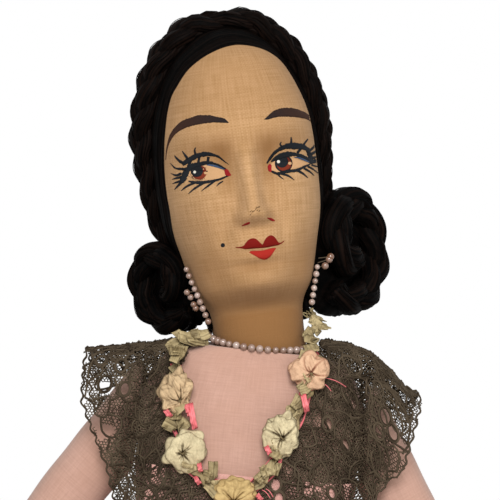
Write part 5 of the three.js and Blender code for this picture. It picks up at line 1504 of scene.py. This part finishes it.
def makeGarland(side, name):
    rng = np.random.default_rng(40 + side)
    line = garlandWay(side)
    along = unit(np.gradient(line, axis=0))
    out = np.repeat([[0.0, -1.0, 0.12]], len(line), 0)
    first = garland["turnIn"]
    out[:first] = unit(np.stack([side * np.linspace(0.7, 0, first), -np.linspace(0.6, 1, first),
                                 np.linspace(0.3, 0.12, first)], 1))
    across = unit(np.cross(along, out))
    run = np.linspace(0, lengthOf(line), len(line))
    turn = 1.1 * np.sin(2 * np.pi * run / garland["twist"]) + 0.5 * np.sin(run / 5)
    width = garland["ribbon"] * (0.78 + 0.3 * np.sin(run / 3.6 + side))
    spun = across * np.cos(turn)[:, None] + out * np.sin(turn)[:, None]
    up = out * np.cos(turn)[:, None] - across * np.sin(turn)[:, None]
    grid = ribbonGrid(line, spun, up, width, 0.9 * np.sin(run / 3), 3 + side, 0.5)
    pieces = [gridPiece("twist", grid, leafSilk, tone=gridTone(grid, rng, 0.45, 0.4), outward=False)]
    for n in range(garland["leaves"]):
        k = int(np.clip((3 + n * 8.2 if n < 24 else 5 + (n - 24) * 6.5) + rng.uniform(-2, 2), 0, len(line) - 1))
        lean = rng.choice([-1, 1]) * rng.uniform(0.3, 1.0) if n % 3 and k > first else rng.uniform(-0.3, 0.3)
        way = unit(along[k] * math.cos(lean) * rng.choice([1, 1, -1]) + across[k] * math.sin(lean)
                   + out[k] * rng.uniform(0.0, 0.2))
        leaf = leafGrid(line[k] + across[k] * rng.uniform(-1.5, 1.5), way, out[k],
                        garland["leafLong"] * rng.uniform(0.55, 1.0), garland["leafWide"] * rng.uniform(0.65, 1.1),
                        200 + n + 50 * side)
        tone = gridTone(leaf, rng, rng.uniform(0.4, 0.8), 0.35)
        pieces.append(gridPiece("leaf", leaf, leafSilk, tone=tone, outward=False))
    low = slice(garland["coralStart"], None)
    for edge in (-1, 1):
        sway = edge * (2.2 + 1.0 * np.sin(run[low] / 4 + 2 * edge))
        coral = ribbonGrid(line[low] - out[low] * 1.8 + across[low] * sway[:, None], across[low], out[low],
                           1.2 + 0.5 * np.sin(run[low] / 2.7), 0.4 * np.ones(len(sway)), 70 + side + edge, 0.4)
        pieces.append(gridPiece("coral", coral, coralSilk, tone=gridTone(coral, rng, 0.5, 0.4), outward=False))
    return joined(name, pieces)


# Ribbon flowers: flat discs of ribbon gathered to a stitched middle, each with its own creases and crumple
flowers = {
    "ribbonFlowerUpperRight": {
        "node": "ribbon_flower_upper_right", "at": (-34.7, 24), "size": (6.8, 9.2), "creases": 9, "petals": 0,
        "crumple": 1.5, "silk": "peach", "turn": 0.4, "middle": (0.3, -0.32)},
    "ribbonFlowerLowerRight": {
        "node": "ribbon_flower_lower_right", "at": (-27.2, 49), "size": (8.5, 9.0), "creases": 17, "petals": 0,
        "crumple": 0.55, "silk": "cream", "turn": 1.1, "middle": (-0.25, 0.0)},
    "ribbonFlowerBottom": {
        "node": "ribbon_flower_bottom", "at": (-4.2, 64.5), "size": (8.4, 7.2), "creases": 13, "petals": 0,
        "crumple": 0.8, "silk": "straw", "turn": 2.0, "middle": (0.0, -0.4)},
    "ribbonFlowerLowerLeft": {
        "node": "ribbon_flower_lower_left", "at": (13, 37.5), "size": (7.4, 9.6), "creases": 12, "petals": 3,
        "crumple": 0.9, "silk": "cream", "turn": 0.2, "middle": (0.15, -0.05)},
    "ribbonFlowerUpperLeft": {
        "node": "ribbon_flower_upper_left", "at": (22.6, 9), "size": (8.6, 7.8), "creases": 8, "petals": 4,
        "crumple": 0.7, "silk": "blush", "turn": 2.7, "middle": (0.15, 0.0)},
}
petalColours = {"peach": ("peachRibbon", "#4d3a26", "#c3a883"), "cream": ("creamRibbonPetals", "#453722", "#cbbd98"),
                "straw": ("strawRibbon", "#624722", "#bfa470"), "blush": ("blushRibbon", "#8f5f49", "#d0ab8b")}
petalSilks = {key: tonedMaterial(*colours, 0.65, 900, 0.3, {"Specular IOR Level": 0.15})
              for key, colours in petalColours.items()}


def rosetteGrid(plan, layer, seed):
    # a gathered disc: thin creases of uneven length run out from the middle over crumpled cloth, and the rim is ruffled
    rng = np.random.default_rng(seed)
    angle = np.linspace(0, 2 * np.pi, 181)[:-1]
    r = np.linspace(0.03, 1, 26)[:, None]
    u, v = r * np.cos(angle), r * np.sin(angle)
    depth = np.zeros_like(u)
    lines = [(2 * np.pi * (n + rng.uniform(-0.35, 0.35)) / plan["creases"], rng.uniform(0.3, 0.85),
              rng.uniform(0.4, 1.0), 0.035) for n in range(plan["creases"])]
    lines += [(2 * np.pi * (n + rng.uniform(-0.2, 0.2)) / plan["petals"], 1.5, 0.75, 0.05)
              for n in range(plan["petals"])]
    for at, long, deep, wide in lines:
        away = (angle - at - plan["turn"] - rng.normal(0, 0.35) * r + np.pi) % (2 * np.pi) - np.pi
        groove = np.exp(-(away * r / wide) ** 2) * (np.abs(away) < 1.5)
        depth += deep * groove * (1 - smoothstep(r, 0.45 * long, long))
    depth = np.minimum(depth, 1.3)
    crumple, valley = np.zeros_like(u), np.zeros_like(u)
    for n in range(7):
        way, pace = rng.uniform(0, 2 * np.pi), rng.uniform(3.0, 8.5)
        fold = np.abs(np.sin(pace * (u * math.cos(way) + v * math.sin(way)) + rng.uniform(0, 6)
                             + 0.8 * np.sin(3 * (u * math.sin(way) - v * math.cos(way)) + rng.uniform(0, 6))))
        crumple += rng.uniform(0.15, 0.4) * fold
        valley += np.exp(-(fold / 0.16) ** 2) * rng.uniform(0.1, 0.5)
    lobes = sum(rng.normal(0, 0.045) * np.sin(k * angle + rng.uniform(0, 6)) for k in (2, 3, 4, 5, 7, 11))
    notch = 0.12 * np.abs(np.cos(plan["petals"] / 2 * (angle - plan["turn"]))) ** 8 if plan["petals"] else 0
    reach = (1.0 if layer else 1.1) * (1 + (0.5 + 0.5 * plan["crumple"]) * lobes - notch)
    waves = sum(rng.normal(0, 0.5) * np.sin(k * angle + rng.uniform(0, 6)) for k in (5, 8, 13))
    ruffle = 0.7 * smoothstep(r, 0.55, 1) * waves
    height = (1.0 + 1.5 * (1 - r ** 3) - 0.9 * np.exp(-(r / 0.1) ** 2) - 0.8 * depth
              + 0.75 * plan["crumple"] * crumple + ruffle - 0.9 * smoothstep(r, 0.92, 1) - (0 if layer else 1.7))
    shift = (1 - r) ** 1.3
    x = plan["size"][0] * (reach * u + plan["middle"][0] * shift)
    z = plan["size"][1] * (reach * v + plan["middle"][1] * shift)
    blotch = (0.08 * np.sin(2 * angle + 5 * r + rng.uniform(0, 6))
              + 0.06 * np.sin(5 * angle - 7 * r + rng.uniform(0, 6)))
    # the tone is darker in the creases and fold valleys, at the gathered middle and the rim, and on the lower ring:
    # painted shade; the blotches are uneven colour in the ribbon
    tone = np.clip(0.92 + blotch - 0.8 * depth - 0.5 * plan["crumple"] * valley - 0.7 * np.exp(-(r / 0.08) ** 2)
                   - 0.3 * smoothstep(r, 0.95, 1.0) - (0 if layer else 0.15) + rng.normal(0, 0.04, u.shape), 0, 1)
    return np.stack([x, -height, z], -1), tone


def makeFlower(name, plan, number):
    x, down = plan["at"]
    z = neckSeam - down
    centre = np.array([x, -float(chestDepth(x, z)) - 7.4, z])
    tilt = np.array(Matrix.Rotation(math.radians(-x * 0.5), 3, "Z") @ Matrix.Rotation(math.radians(10), 3, "X"))
    rings, silk = [], petalSilks[plan["silk"]]
    for layer in (0, 1):
        grid, tone = rosetteGrid(plan, layer, 300 + 7 * number + layer)
        rings.append(gridPiece("ring", grid @ tilt.T + centre, silk, around=True, caps=(True, False), tone=tone,
                               outward=False))
    flower = joined(name, rings)
    lookOutward(flower, centre + [0, 30, 0])
    flower.modifiers.new("ribbon", "SOLIDIFY").thickness = garland["thick"] * metres
    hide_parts(plan["node"])
    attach(flower, "torso")
    rng = np.random.default_rng(500 + number)
    hub = np.array([plan["size"][0] * plan["middle"][0], 0, plan["size"][1] * plan["middle"][1]])
    stitches = []
    for n in range(6):
        way = rng.uniform(0, 2 * np.pi)
        reach = rng.uniform(0.8, 2.4)
        k = np.linspace(-0.2, 1, 5)
        bow = np.stack([math.cos(way) * reach * k, -2.6 - 0.5 * (1 - k * k) - 0.5 * np.abs(k),
                        math.sin(way) * reach * k], 1)
        stitches.append((bow + hub) @ tilt.T + centre)
    middle = threadPiece(name + "Stitches", stitches, 0.16, leafSilk, 4, rng.uniform(0, 0.35, len(stitches)))
    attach(middle, "torso")


for number, (name, plan) in enumerate(flowers.items()):
    makeFlower(name, plan, number)
for word, side in sides.items():
    rope = makeGarland(side, f"garland{word}")
    rope.modifiers.new("ribbon", "SOLIDIFY").thickness = garland["thick"] * metres
    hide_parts(f"garland_{word.lower()}")
    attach(rope, "torso")

# Coral scraps: short bright loops and loose threads caught in the garland
scraps = {"loops": [((165, 409), (171, 417), 2.4), ((190, 403), (195, 429), 2.6), ((199, 463), (201, 472), 2.0),
                    ((195, 476), (200, 484), 2.0), ((303, 394), (307, 412), 2.6), ((266, 446), (271, 455), 2.2),
                    ((257, 494), (262, 500), 2.0), ((186, 404), (190, 416), 1.8)],
          "threads": [((325, 378), (346, 387)), ((321, 383), (331, 391)), ((262, 490), (270, 498)),
                      ((266, 489), (273, 497))],
          "points": 14, "off": 7.5, "threadOff": 5.0}


def makeScraps():
    made = []
    for n, (start, end, width) in enumerate(scraps["loops"]):
        rng = np.random.default_rng(600 + n)
        a, b = onChest(*start, scraps["off"]), onChest(*end, scraps["off"])
        count = scraps["points"]
        t = np.linspace(0, 1, count)
        line = a + (b - a) * t[:, None] + np.array([0, -1.0, 0]) * (2.6 * np.sin(np.pi * t))[:, None]
        out = np.repeat([[0, -1.0, 0]], count, 0)
        across = unit(np.cross(np.repeat([b - a], count, 0), out))
        grid = ribbonGrid(line, across, out, np.full(count, width), np.full(count, 0.5), 600 + n, 0.5)
        made.append(gridPiece("scrap", grid, coralSilk, tone=gridTone(grid, rng, 0.6, 0.4), outward=False))
    piece = joined("coralScraps", made)
    piece.modifiers.new("ribbon", "SOLIDIFY").thickness = garland["thick"] * metres
    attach(piece, "torso")
    loose = []
    for start, end in scraps["threads"]:
        a, b = onChest(*start, scraps["threadOff"]), onChest(*end, scraps["threadOff"])
        t = np.linspace(0, 1, 10)
        loose.append(a + (b - a) * t[:, None] + np.array([0, -1.0, 0.6]) * (1.3 * np.sin(np.pi * t))[:, None])
    ends = threadPiece("looseThreads", loose, 0.2, coralSilk, 4, np.linspace(0.7, 1.0, len(loose)))
    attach(ends, "torso")


makeScraps()
print("garland and flowers made")

# Stage: pale floor, soft studio light, white to the camera
lights = {"keyLight": {"place": (-50, -1160, 800), "size": 0.6, "power": 18.2},
          "fillLight": {"place": (900, -900, 400), "size": 1.0, "power": 3}}


def makeStage():
    floorMaterial = newMaterial("paleFloor", {"Base Color": linear("#d9d7d3"), "Roughness": 0.9})[0]
    floor = makePiece("floor", [(-900, -1100, 0), (900, -1100, 0), (900, 450, 0), (-900, 450, 0)], [[0, 1, 2, 3]],
                      floorMaterial)
    world = bpy.data.worlds.new("studio")
    bpy.context.scene.world = world
    world.use_nodes = True
    tree = world.node_tree
    tree.nodes.clear()
    rays = addNode(tree, "ShaderNodeLightPath").outputs
    mirrored = addNode(tree, "ShaderNodeMath", {"operation": "MAXIMUM"},
                       {0: rays["Is Glossy Ray"], 1: rays["Is Transmission Ray"]})
    seen = addNode(tree, "ShaderNodeMath", {"operation": "MAXIMUM"},
                   {0: rays["Is Camera Ray"], 1: mirrored.outputs[0]})
    soft = addNode(tree, "ShaderNodeBackground", None, {"Color": (1, 1, 1, 1), "Strength": 0.35})
    white = addNode(tree, "ShaderNodeBackground", None, {"Color": (1, 1, 1, 1), "Strength": 1.0})
    mix = addNode(tree, "ShaderNodeMixShader", None, {0: seen.outputs[0], 1: soft.outputs[0], 2: white.outputs[0]})
    addNode(tree, "ShaderNodeOutputWorld", None, {0: mix.outputs[0]})
    for name, light in lights.items():
        data = bpy.data.lights.new(name, "AREA")
        data.size, data.energy = light["size"], light["power"]
        lamp = addObject(name, data)
        lamp.location = Vector(light["place"]) * metres
        lamp.rotation_euler = (Vector((0, 0, 0.2)) - lamp.location).to_track_quat("-Z", "Y").to_euler()
    bpy.context.scene.view_settings.view_transform = "Standard"


makeStage()
